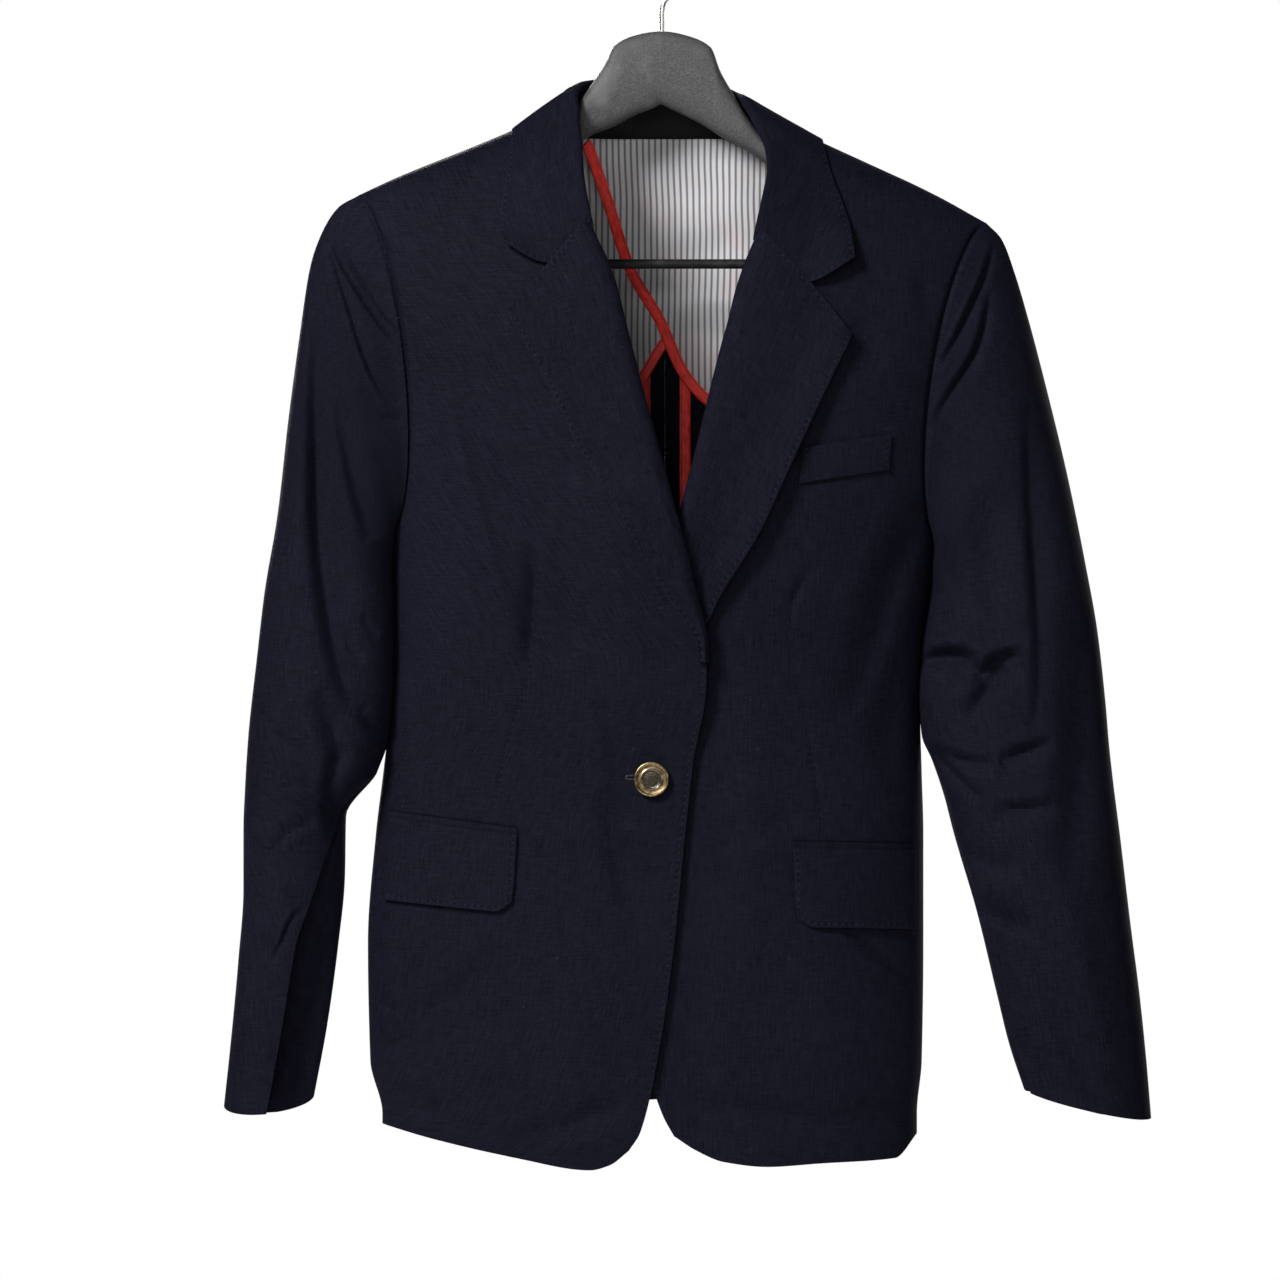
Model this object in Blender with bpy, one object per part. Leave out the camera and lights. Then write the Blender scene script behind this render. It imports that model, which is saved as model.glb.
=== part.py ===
"""A tailored jacket on a plain hanger.

+X points to the wearer's left, the front faces -Y and +Z is up. The origin is the point inside
the hook's bend that bears on a rail. Sizes here are millimetres; the meshes are made in metres.
"""

import math

import bmesh
import bpy
import numpy as np
from mathutils import Vector
from mathutils.bvhtree import BVHTree

METRE = 0.001

# Walls and the gaps that keep neighbouring pieces apart
CLOTH = 1.4
LINING = 1.0
BINDING = 1.0
SEAM = 0.6
SHOULDER_SEAM = 1.1
MIDDLE_SEAM = 0.35
ARMHOLE_GAP = 1.8
SLEEVE_GAP = 0.7

# How finely the cloth is cut into faces
PANEL_ROWS, PANEL_COLUMNS = 23, 12
BACK_ROWS, BACK_COLUMNS = 17, 13
LAPEL_ROWS = 18
COLLAR_COLUMNS, COLLAR_ROWS = 35, 5

# Button, hook, bar
BUTTON_X, BUTTON_Z = -6.0, -522.0
BUTTON_RADIUS = 11.0
BUTTON_THICK = 3.2
THREAD_RADIUS = 1.6
HOOK_WIRE = 3.1
HOOK_BEND = 20.5
HOOK_FOOT_Z = -58.0
BAR_Z = -202.5
BAR_RADIUS = 3.0
BAR_LEFT_X, BAR_RIGHT_X = -161.3, 170.9
HANGER_FLATNESS = 0.85

# How the body rounds off at its sides and under its shoulder seams
SIDE_POWER, SIDE_ROOT = 2.6, 0.38
TOP_POWER, TOP_ROOT = 2.4, 0.55
TOP_DROP = 150.0
UNDERARM_SHARE = 1.2

# How far one layer lifts over another where the fronts overlap
LAP_LIFT = 2.6
LAPEL_LIFT = 5.2
LAP_START_X, LAP_FADE = -34.0, 50.0
LAP_TOP_Z = -322.0


class Table:
    """A short table read smoothly: the first column is the key, the others follow it."""

    def __init__(self, names, *rows):
        self.names = names.split()
        self.rows = np.array(sorted(rows), float)
        self.keys = self.rows[:, 0]
        self.slopes = [self._slopes(column) for column in self.rows.T]

    def _slopes(self, values):
        """Slopes that never overshoot the rows (monotone cubic)."""
        step = np.diff(values) / np.diff(self.keys)
        slopes = np.empty(len(values))
        slopes[0], slopes[-1] = step[0], step[-1]
        for i in range(1, len(step)):
            before, after = step[i - 1], step[i]
            slopes[i] = 0.0 if before * after <= 0 else 2 * before * after / (before + after)
        return slopes

    def at(self, name, key):
        column = self.names.index(name)
        key = min(max(key, self.keys[0]), self.keys[-1])
        i = min(int(np.searchsorted(self.keys, key, side="right")) - 1, len(self.keys) - 2)
        width = self.keys[i + 1] - self.keys[i]
        t = (key - self.keys[i]) / width
        low, high = self.rows[i, column], self.rows[i + 1, column]
        start, end = self.slopes[column][i] * width, self.slopes[column][i + 1] * width
        return (
            low * (2 * t**3 - 3 * t**2 + 1)
            + start * (t**3 - 2 * t**2 + t)
            + high * (3 * t**2 - 2 * t**3)
            + end * (t**3 - t**2)
        )


# The body: half widths to each side and depths to front and back, by height
BODY = Table(
    "z right left front back",
    (-770, -173, 159, 50, 44),
    (-730, -173, 159, 50, 44),
    (-697, -180, 161, 51, 45),
    (-624, -181, 161, 53, 47),
    (-556, -176, 161, 54, 47),
    (-519, -172, 161, 54, 46),
    (-478, -168, 161, 56, 46),
    (-442, -166, 163, 59, 48),
    (-399, -166, 169, 63, 51),
    (-372, -167, 173, 66, 54),
    (-330, -173, 180, 68, 56),
    (-260, -182, 190, 66, 55),
    (-190, -191, 205, 60, 50),
    (-90, -200, 214, 52, 44),
)

# Where front and back meet on top, by x: the shoulder seams, carried on over the neck
FRONT_TOP = Table(
    "x z",
    (-200, -166),
    (-188, -160),
    (-161, -147.8),
    (-112, -128.5),
    (-89, -119),
    (-57, -104),
    (-40, -94),
    (0, -90),
    (40, -96),
    (57, -108),
    (97, -126.5),
    (136, -144),
    (155, -152.5),
    (174, -161.8),
    (202, -177),
    (216, -184),
)
BACK_TOP = Table(
    "x z",
    (-200, -166),
    (-188, -160),
    (-161, -147.8),
    (-112, -128.5),
    (-89, -119),
    (-57, -104),
    (-38, -66),
    (0, -42),
    (38, -70),
    (57, -108),
    (97, -126.5),
    (136, -144),
    (155, -152.5),
    (174, -161.8),
    (202, -177),
    (216, -184),
)

# Front edges and roll lines, from the lower corner up to the neck
RIGHT_FRONT_EDGE = Table(
    "z x",
    (-752, -20),
    (-741, -13),
    (-705, -4),
    (-634, 7),
    (-555, 15),
    (-511, 20),
    (-463, 28),
    (-445, 28),
    (-393, 19),
    (-338, 4),
    (-290, -9),
    (-252, -19),
    (-201, -32),
    (-172, -43),
    (-139, -50),
    (-104, -57),
)
LEFT_FRONT_EDGE = Table(
    "z x",
    (-743, 8),
    (-730, 1),
    (-705, -7),
    (-666, -13),
    (-583, -29),
    (-522, -37),
    (-460, -29),
    (-420, -10),
    (-359, 11),
    (-325, 20),
    (-256, 37),
    (-238, 42),
    (-200, 51),
    (-167, 63),
    (-140, 68),
    (-110, 60),
)
# Hems, from the front corner outwards
RIGHT_HEM = Table("x z", (-173, -736), (-141, -745), (-92, -756), (-44, -764), (-32, -761), (-20, -752))
LEFT_HEM = Table("x z", (8, -743), (22, -752), (39, -759), (66, -762), (98, -760), (145, -757), (159, -742))
BACK_HEM_SIDE_Z, BACK_HEM_MIDDLE_Z = -732.0, -722.0
BACK_NECK_Z = -106.0

# Armholes: top and bottom of the ring and how far its middle bows towards the body
ARMHOLES = {
    "right": {"top": (-188, -160), "foot": (-167, -367), "front_bow": 19.5, "back_bow": 12},
    "left": {"top": (202, -177), "foot": (173.5, -377), "front_bow": -21, "back_bow": -13},
}

# Sleeves, from armhole to cuff: outer and inner edges, half depths, where the middle hangs,
# how much deeper the front of the cuff reaches, where the upper sleeve's fold lies across the
# front (1 is at the inner edge) and how far the under sleeve lies behind it
SLEEVE_COLUMNS = "part out_x out_z in_x in_z front back middle_y tilt fold behind"
RIGHT_SLEEVE = Table(
    SLEEVE_COLUMNS,
    (0.00, -188, -160, -167.0, -367, 44, 40, 0, 0, 1.00, 0),
    (0.03, -200, -167, -167.4, -369, 45, 41, 0, 0, 1.00, 0),
    (0.07, -211, -184, -167.6, -372, 46, 41, 0, 0, 1.00, 0),
    (0.12, -218, -205, -167.6, -376, 47, 42, 0, 0, 1.00, 0),
    (0.19, -224, -244, -167.2, -382, 47, 42, -1, 0, 1.00, 0),
    (0.27, -231, -296, -166.6, -391, 46, 42, -2, 0, 1.00, 0),
    (0.35, -238, -358, -166.2, -405, 45, 41, -4, 0, 1.00, 0),
    (0.43, -246, -406, -166.2, -432, 44, 40, -6, 0, 1.00, 0),
    (0.50, -251, -449, -167.1, -462, 43, 39, -8, 0, 1.00, 0),
    (0.57, -256, -495, -169.9, -496, 42, 38, -10, 0, 1.00, 0),
    (0.62, -258, -527, -176.0, -518, 41, 37, -12, 0, 0.98, 0),
    (0.66, -259, -553, -195.3, -545, 40, 36, -13, 0, 0.93, 7),
    (0.72, -259, -590, -196.0, -583, 38, 35, -14, 0, 0.74, 15),
    (0.80, -262, -633, -200.0, -624, 36, 33, -15, 1, 0.57, 18),
    (0.90, -267, -687, -207.0, -675, 33, 31, -16, 3, 0.52, 18),
    (1.00, -271, -729, -215.0, -718, 31, 29, -17, 5, 0.48, 16),
)
LEFT_SLEEVE = Table(
    SLEEVE_COLUMNS,
    (0.00, 202, -177, 173.5, -377, 44, 40, 0, 0, 1.00, 0),
    (0.03, 211.5, -187, 174.0, -380, 45, 41, 0, 0, 1.00, 0),
    (0.07, 220, -209, 173.6, -384, 46, 41, 0, 0, 1.00, 0),
    (0.12, 228, -236, 172.2, -389, 47, 42, 0, 0, 1.00, 0),
    (0.19, 239, -278, 170.4, -396, 47, 42, -1, 0, 1.00, 0),
    (0.27, 252, -332, 168.6, -405, 46, 42, -2, 0, 1.00, 0),
    (0.35, 263, -386, 166.6, -417, 45, 41, -4, 0, 1.00, 0),
    (0.43, 271, -431, 163.3, -441, 44, 40, -6, 0, 1.00, 0),
    (0.50, 276, -476, 161.5, -470, 43, 39, -8, 0, 1.00, 0),
    (0.54, 278, -500, 163.4, -495, 42, 38, -9, 0, 1.00, 0),
    (0.57, 280, -519, 169.9, -511, 42, 38, -10, 0, 1.00, 0),
    (0.65, 285, -559, 182.0, -557, 40, 37, -12, 0, 1.00, 0),
    (0.74, 291, -610, 195.8, -604, 38, 35, -14, 1, 0.97, 3),
    (0.84, 297, -657, 207.7, -653, 36, 33, -15, 3, 0.95, 4),
    (0.92, 301, -696, 215.8, -686, 34, 31, -16, 5, 0.95, 4),
    (1.00, 304, -732, 225.0, -714, 32, 29, -17, 7, 0.95, 4),
)

# Where the sleeve's seams lie, as angles from its outer edge over the front
BACK_SEAM_ANGLE, FRONT_SEAM_LIMIT = math.radians(-112), math.radians(162)
SLEEVE_PARTS = (
    0.0, 0.03, 0.08, 0.13, 0.19, 0.25, 0.31, 0.37, 0.44, 0.5, 0.56, 0.61, 0.65, 0.71, 0.8, 0.9, 1.0
)

# The largest folds: a line from one point to another on the front, its half width and its height
# (troughs are below zero)
FOLD_COLUMNS = ("x0", "z0", "x1", "z1", "width", "height")
RIGHT_FRONT_FOLDS = (
    (-139, -276, -83, -453, 16, 3.0),
    (-120, -291, -58, -425, 13, -3.0),
    (-58, -425, -14, -625, 15, -2.6),
    (-76, -390, -84, -450, 9, -3.4),
    (-130, -600, -172, -668, 14, -2.6),
    (-95, -750, -20, -722, 18, -2.2),
)
LEFT_FRONT_FOLDS = (
    (164, -342, 123, -462, 16, -3.0),
    (118, -240, 136, -270, 12, -2.4),
    (100, -560, 112, -760, 24, 2.0),
    (12, -715, 158, -738, 14, -2.2),
    (111, -618, 158, -650, 10, -2.4),
)
RIGHT_SLEEVE_FOLDS = (
    (-204, -187, -160, -247, 7, -4.5),
    (-211, -188, -160, -300, 9, -3.5),
    (-213, -230, -216, -400, 10, -8.0),
    (-214, -400, -180, -494, 11, -6.5),
    (-200, -285, -180, -374, 11, 3.5),
    (-190, -440, -176, -470, 9, -4.0),
    (-244, -497, -214, -512, 9, -4.0),
    (-242, -570, -212, -548, 10, -4.5),
    (-240, -640, -228, -610, 11, -3.5),
    (-255, -500, -262, -680, 8, 3.0),
)
LEFT_SLEEVE_FOLDS = (
    (204, -206, 168, -268, 8, -4.5),
    (206, -230, 170, -300, 8, -3.5),
    (226, -300, 234, -480, 12, -4.0),
    (257, -405, 252, -590, 12, -3.5),
    (167, -450, 196, -448, 10, -7.5),
    (202, -448, 218, -444, 9, -5.0),
    (172, -504, 202, -512, 9, -4.5),
    (206, -540, 242, -538, 9, -4.5),
    (200, -604, 226, -614, 8, -6.0),
    (233, -640, 268, -725, 12, -4.0),
)

# Lapels, by height on the roll line: where the outer edge lies
RIGHT_LAPEL = Table(
    "z edge_x edge_z",
    (-450, 29, -449),
    (-430, 20, -434),
    (-393, -13, -382),
    (-360, -33, -345),
    (-325, -53, -313),
    (-290, -63, -292),
    (-252, -77, -266),
    (-215, -90, -242),
    (-195, -94, -235),
    (-177.6, -94.5, -232),
)
LEFT_LAPEL = Table(
    "z edge_x edge_z",
    (-452, -21, -452),
    (-430, 24, -432),
    (-395, 37, -408),
    (-360, 61, -369),
    (-325, 79, -330),
    (-290, 99, -287),
    (-256, 111, -262),
    (-225, 116, -252),
    (-185.5, 117.5, -247.5),
)
LAPEL_ROLL = 3.2
LAPEL_REST = 2.5
GORGE_BEND = {"right": 1.0, "left": 1.15}
# Round the roll line, from the facing inside the front: distance across and height over the front
LAPEL_TURN = (
    (5.0, -4.6),
    (-1.4, -4.2),
    (-2.8, -1.0),
    (-1.6, 3.0),
)

# The collar: its fold line round the neck, and its outer edge; ON_FRONT reads y from the body
ON_FRONT = None
COLLAR_FOLD = (
    (-44, ON_FRONT, -177),
    (-49.5, ON_FRONT, -150),
    (-51.5, ON_FRONT, -126),
    (-53.5, -22, -106),
    (-54, -8, -93.3),
    (-50.8, 9, -89.3),
    (-40.5, 28, -87),
    (-22, 41, -84.5),
    (0, 45, -84),
    (22, 42, -85.5),
    (39, 31, -91),
    (48, 15, -95.5),
    (54, -4, -99),
    (60, -18, -110),
    (66.5, ON_FRONT, -124),
    (68.5, ON_FRONT, -141),
    (66, ON_FRONT, -155),
    (59.5, ON_FRONT, -184),
)
COLLAR_EDGE = (
    (-98, ON_FRONT, -189),
    (-100, ON_FRONT, -177),
    (-97.5, ON_FRONT, -160),
    (-95, ON_FRONT, -144),
    (-93.5, -12, -126),
    (-91.6, 3, -117.6),
    (-86, 24, -124),
    (-66, 42, -131),
    (-34, 52, -135),
    (0, 55, -136),
    (34, 52, -137),
    (68, 42, -135),
    (92, 22, -130),
    (99.5, 0, -124.5),
    (102, -14, -133),
    (106, ON_FRONT, -148),
    (112, ON_FRONT, -164),
    (117, ON_FRONT, -180),
    (120, ON_FRONT, -199),
)
# The collar's two ends, from the fold line along the gorge seam to the notch and out to the tip
RIGHT_COLLAR_END = Table("share x z", (0, -44, -177), (0.3, -58, -191), (0.52, -70, -202.5), (1, -98, -189))
LEFT_COLLAR_END = Table("share x z", (0, 59.5, -184), (0.3, 77, -201), (0.54, 90, -214.5), (1, 120, -199))
COLLAR_BULGE = 1.0
STAND_HEIGHT = Table("part height", (0.22, 9), (0.32, 11), (0.5, 19), (0.62, 9), (0.72, 7.5), (0.82, 8))

# Pockets and welt: corners on the front, upper inner, upper outer, lower outer, lower inner
RIGHT_FLAP = ((-89, -556.5), (-169.5, -546), (-172, -597), (-92, -605.2))
LEFT_FLAP = ((82, -564.5), (158, -566.5), (158, -615), (84, -613.7))
RIGHT_JET = ((-89, -551.5), (-164, -541.8), (-164, -545.8), (-89, -555.7))
LEFT_JET = ((82, -559.5), (151, -561.2), (151, -565.3), (82, -563.7))
CHEST_WELT = ((88, -317), (143, -309), (141.5, -331), (85, -339.5))
FLAP_CORNER = 8.0

# Inside: the facing at the neck, the half lining's slanting edges, the middle seam's allowances
NECK_FACING_TOP_Z, NECK_FACING_FOOT_Z = -107.0, -125.0
NECK_FACING_DEPTH = 3.3
LEFT_LINING_EDGE = Table(
    "x z",
    (-46, -129),
    (-35, -165),
    (-21, -207),
    (-3, -238),
    (12, -271),
    (29, -290),
    (80, -318),
    (150, -338),
)
RIGHT_LINING_EDGE = Table(
    "x z",
    (-150, -345),
    (-80, -325),
    (-40, -303),
    (-12, -278),
    (1, -257),
    (24, -226),
    (44, -200),
)
LINING_TOP_Z = -126.5
LINING_SPAN = {"right": (-136.0, 43.0), "left": (-45.5, 136.0)}
TRIM_SPAN = {"right": (-134.0, 4.0), "left": (-44.5, 134.0)}
LINING_ROWS, LINING_COLUMNS = 7, 20
LINING_REACH = 3.5
# How far each piece's face lies in from the back's outer face, and a binding over its lining
LINING_DEPTH = {"right": 4.8, "left": 8.2}
BINDING_RISE = 2.2
BINDING_WIDTH = 5.6
MIDDLE_SEAM_X = 2.4
ALLOWANCE_WIDTH = 9.0
ALLOWANCE_NEAR = {"right": 0.6, "left": 1.1}
ALLOWANCE_TOP_Z, ALLOWANCE_FOOT_Z = -246.0, -700.0

# The hanger, by x: upper and lower edge and half thickness
HANGER = Table(
    "x top low half",
    (-183, -181, -196, 3),
    (-180, -173, -205, 6),
    (-172, -165, -208, 8),
    (-165, -161, -207, 8.5),
    (-156, -157.5, -186, 9),
    (-120, -143, -168, 10),
    (-85, -130, -149, 10.5),
    (-58, -113, -131, 10.5),
    (-50, -101, -127, 10.5),
    (-41, -88, -121.5, 10),
    (-34, -77, -119, 10),
    (-29, -67, -117, 9.5),
    (-18, -61, -111, 9.5),
    (-4, -58.2, -105.3, 9.5),
    (0, -58, -103.4, 9.5),
    (4, -58.2, -105.4, 9.5),
    (19, -61.5, -112.4, 9.5),
    (31, -68, -119.4, 9.5),
    (37, -83, -123.5, 10),
    (45, -97, -128, 10),
    (53, -110, -132, 10.5),
    (64, -124, -139.5, 10.5),
    (90, -136, -154, 10.5),
    (145, -159, -182, 10),
    (166, -168, -190, 9),
    (176, -173, -207, 8.5),
    (183, -177, -208, 8),
    (191, -184, -205, 6),
    (194, -190, -200, 3),
)


def clear_scene():
    for old in list(bpy.data.objects):
        bpy.data.objects.remove(old, do_unlink=True)


def material(name, colour, roughness, metallic=0.0):
    made = bpy.data.materials.new(name)
    made.use_nodes = True
    shader = made.node_tree.nodes["Principled BSDF"]
    shader.inputs["Base Color"].default_value = (*colour, 1)
    shader.inputs["Roughness"].default_value = roughness
    shader.inputs["Metallic"].default_value = metallic
    return made


def smooth(t):
    t = min(max(t, 0.0), 1.0)
    return t * t * (3 - 2 * t)


def mix(a, b, t):
    return a + (b - a) * t


def spread(count, power=1.0):
    """Shares from 0 to 1; a power above 1 crowds them towards 1."""
    return [1 - (1 - i / (count - 1)) ** power for i in range(count)]


def spread_to_ends(count, crowding):
    """Shares from 0 to 1, crowded towards both ends."""
    shares = [i / (count - 1) for i in range(count)]
    return [t - crowding * math.sin(math.tau * t) for t in shares]


def fold_relief(x, z, folds):
    """How far the largest folds push the cloth out at a point of the front."""
    total = 0.0
    for x0, z0, x1, z1, width, height in folds:
        dx, dz = x1 - x0, z1 - z0
        along = ((x - x0) * dx + (z - z0) * dz) / (dx * dx + dz * dz)
        held = min(max(along, 0.0), 1.0)
        away = math.hypot(x - x0 - held * dx, z - z0 - held * dz)
        fade = 1.0 - 0.45 * abs(2 * held - 1)
        total += height * fade * math.exp(-((away / width) ** 2))
    return total


def body_depth(x, z, face):
    """Distance of the body's cloth from the middle plane; face is front or back."""
    half = BODY.at("left" if x > 0 else "right", z)
    across = min(abs(x / half), 1.0)
    top = (FRONT_TOP if face == "front" else BACK_TOP).at("z", x)
    up = min(max((z - top + TOP_DROP) / TOP_DROP, 0.0), 1.0)
    side = (1 - across**SIDE_POWER) ** SIDE_ROOT
    return BODY.at(face, z) * side * (1 - up**TOP_POWER) ** TOP_ROOT


def lap_share(x, z):
    """How far into the overlap of the two fronts a point lies, from 0 to 1."""
    return smooth((x - LAP_START_X + LAP_FADE) / LAP_FADE) * smooth((LAP_TOP_Z - z) / 26)


def front_depth(x, z, side):
    """Depth of a front's outer surface, lifted where it laps over the other front."""
    folds = RIGHT_FRONT_FOLDS if side == "right" else LEFT_FRONT_FOLDS
    base = body_depth(x, z, "front")
    held = smooth(base / 30.0)
    depth = base + held * fold_relief(x, z, folds)
    if side == "right":
        over_lapel = smooth((LAP_TOP_Z - z) / 26) * smooth((z + 512) / 50) * smooth((x + 62) / 45)
        return depth + LAP_LIFT * lap_share(x, z) + LAPEL_LIFT * over_lapel
    return depth - LAP_LIFT * smooth((60 - x) / 40)


def armhole_x(side, z, bow):
    """The armhole seam's x at a height, on the side of the body that bows by that much."""
    hole = ARMHOLES[side]
    (top_x, top_z), (foot_x, foot_z) = hole["top"], hole["foot"]
    middle_z, half_z = (top_z + foot_z) / 2, (top_z - foot_z) / 2
    cosine = min(max((z - middle_z) / half_z, -1.0), 1.0)
    sine = math.sqrt(1 - cosine * cosine)
    return (top_x + foot_x) / 2 + cosine * (top_x - foot_x) / 2 + hole[bow] * sine**UNDERARM_SHARE


def outer_x(side, z, bow):
    """The outer boundary of a body panel: side seam, then armhole."""
    foot_z = ARMHOLES[side]["foot"][1]
    if z > foot_z:
        return armhole_x(side, z, bow)
    foot_x = ARMHOLES[side]["foot"][0]
    return mix(foot_x, BODY.at(side, z), smooth((foot_z - z) / 30.0))


def cloth(name, grid, thickness, finish, outward):
    """A closed wall of cloth: the grid is its outer face, outward tells which way that faces."""
    mesh = bpy.data.meshes.new(name)
    bm = bmesh.new()
    rows = [[bm.verts.new(Vector(point) * METRE) for point in row] for row in grid]
    for lower, upper in zip(rows, rows[1:]):
        for a, b, c, d in zip(lower, lower[1:], upper[1:], upper):
            bm.faces.new((a, b, c, d))
    bm.normal_update()
    facing = sum(face.normal.dot(outward(face.calc_center_median() / METRE)) for face in bm.faces)
    if facing < 0:
        bmesh.ops.reverse_faces(bm, faces=bm.faces)
    bm.to_mesh(mesh)
    bm.free()
    made = bpy.data.objects.new(name, mesh)
    bpy.context.scene.collection.objects.link(made)
    made.data.materials.append(finish)
    wall = made.modifiers.new("wall", "SOLIDIFY")
    wall.thickness = thickness * METRE
    wall.offset = -1
    wall.use_even_offset = False
    mesh.shade_smooth()
    return made


def solid(name, rings, finish):
    """A closed solid through rings of equal point counts."""
    mesh = bpy.data.meshes.new(name)
    bm = bmesh.new()
    loops = [[bm.verts.new(Vector(point) * METRE) for point in ring] for ring in rings]
    count = len(loops[0])
    for lower, upper in zip(loops, loops[1:]):
        for i in range(count):
            j = (i + 1) % count
            bm.faces.new((lower[i], lower[j], upper[j], upper[i]))
    bm.faces.new(list(reversed(loops[0])))
    bm.faces.new(loops[-1])
    bmesh.ops.recalc_face_normals(bm, faces=bm.faces)
    bm.to_mesh(mesh)
    bm.free()
    made = bpy.data.objects.new(name, mesh)
    bpy.context.scene.collection.objects.link(made)
    made.data.materials.append(finish)
    mesh.shade_smooth()
    mesh.set_sharp_from_angle(angle=math.radians(40))
    return made


def faces_tree(*grids):
    """The faces of some grids, for laying other pieces on them."""
    points, quads = [], []
    for grid in grids:
        columns, first = len(grid[0]), len(points)
        points += [Vector(point) for row in grid for point in row]
        for r in range(len(grid) - 1):
            for c in range(columns - 1):
                corner = first + r * columns + c
                quads.append((corner, corner + 1, corner + columns + 1, corner + columns))
    return BVHTree.FromPolygons(points, quads)


def steepness(x, z, face):
    """How much longer than its thickness a wall is along Y where the body slopes away."""
    step = 2.0
    across = (body_depth(x + step, z, face) - body_depth(x - step, z, face)) / (2 * step)
    up = (body_depth(x, z + step, face) - body_depth(x, z - step, face)) / (2 * step)
    return min(math.sqrt(1 + across * across + up * up), 3.0)


def held_off(tree, x, z, out, side):
    """The depth at which a point lies off a piece; side is its front, or None inside the back."""
    place, normal, _, _ = tree.ray_cast(Vector((x, -300, z)), Vector((0, 1, 0)))
    if place is not None:
        return place.y - out / max(abs(normal.y), 0.35)
    if side is None:
        return body_depth(x, z, "back") - out * steepness(x, z, "back")
    return -front_depth(x, z, side) - out * steepness(x, z, "front")


def laid_on(tree, x, z, out, side=None, reach=0.0):
    """A point laid on a piece, clear of all that lies within reach of it."""
    around = [(0, 0)]
    if reach:
        around += [(reach, 0), (-reach, 0), (0, reach), (0, -reach)]
    return Vector((x, min(held_off(tree, x + dx, z + dz, out, side) for dx, dz in around), z))


def forward(_):
    return Vector((0, -1, 0))


def backward(_):
    return Vector((0, 1, 0))


def front_panel(side, finish):
    """One front, from hem to shoulder seam and from front edge or roll line to side seam."""
    edge = RIGHT_FRONT_EDGE if side == "right" else LEFT_FRONT_EDGE
    hem = RIGHT_HEM if side == "right" else LEFT_HEM
    corner_z = edge.keys[0]
    side_foot_x = hem.keys[0] if side == "right" else hem.keys[-1]
    side_foot_z = hem.at("z", side_foot_x)
    neck_z = edge.keys[-1]
    tip_z = ARMHOLES[side]["top"][1]
    tip_x = ARMHOLES[side]["top"][0]
    grid = []
    for v in spread_to_ends(PANEL_ROWS, 0.08):
        inner_z = mix(corner_z, neck_z, v)
        outer_z = mix(side_foot_z, tip_z, v)
        inner_x = edge.at("x", inner_z)
        far_x = outer_x(side, outer_z, "front_bow")
        row = []
        for u in spread(PANEL_COLUMNS, 1.7):
            x = mix(inner_x, far_x, u)
            z = mix(inner_z, outer_z, u)
            foot_x = mix(edge.at("x", corner_z), side_foot_x, u)
            droop = hem.at("z", foot_x) - mix(corner_z, side_foot_z, u)
            top_x = mix(edge.at("x", neck_z), tip_x, u)
            rise = FRONT_TOP.at("z", top_x) - mix(neck_z, tip_z, u)
            z += droop * (1 - smooth(v / 0.3)) + rise * smooth((v - 0.7) / 0.3)
            y = -max(front_depth(x, z, side), SEAM, SHOULDER_SEAM * smooth((v - 0.9) / 0.1))
            row.append((x, y, z))
        grid.append(row)
    cloth(f"front_{side}", grid, CLOTH, finish, forward)
    return faces_tree(grid)


def back_panel(side, finish):
    """One half of the back, from the middle seam to side seam and armhole."""
    sign = -1 if side == "right" else 1
    tip_x, tip_z = ARMHOLES[side]["top"]
    middle_x = MIDDLE_SEAM_X + sign * MIDDLE_SEAM / 2
    grid = []
    for v in spread_to_ends(BACK_ROWS, 0.08):
        middle_z = mix(BACK_HEM_MIDDLE_Z, BACK_NECK_Z, v)
        side_z = mix(BACK_HEM_SIDE_Z, tip_z, v)
        far_x = outer_x(side, side_z, "back_bow")
        row = []
        for u in spread(BACK_COLUMNS, 1.3):
            x = mix(middle_x, far_x, u)
            z = mix(middle_z, side_z, u)
            top_x = mix(middle_x, tip_x, u)
            top_z = min(BACK_TOP.at("z", top_x), BACK_NECK_Z)
            z += (top_z - mix(BACK_NECK_Z, tip_z, u)) * smooth((v - 0.7) / 0.3)
            y = max(body_depth(x, z, "back"), SEAM, SHOULDER_SEAM * smooth((v - 0.9) / 0.1))
            row.append((x, y, z))
        grid.append(row)
    cloth(f"back_{side}", grid, CLOTH, finish, backward)
    return grid


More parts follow.
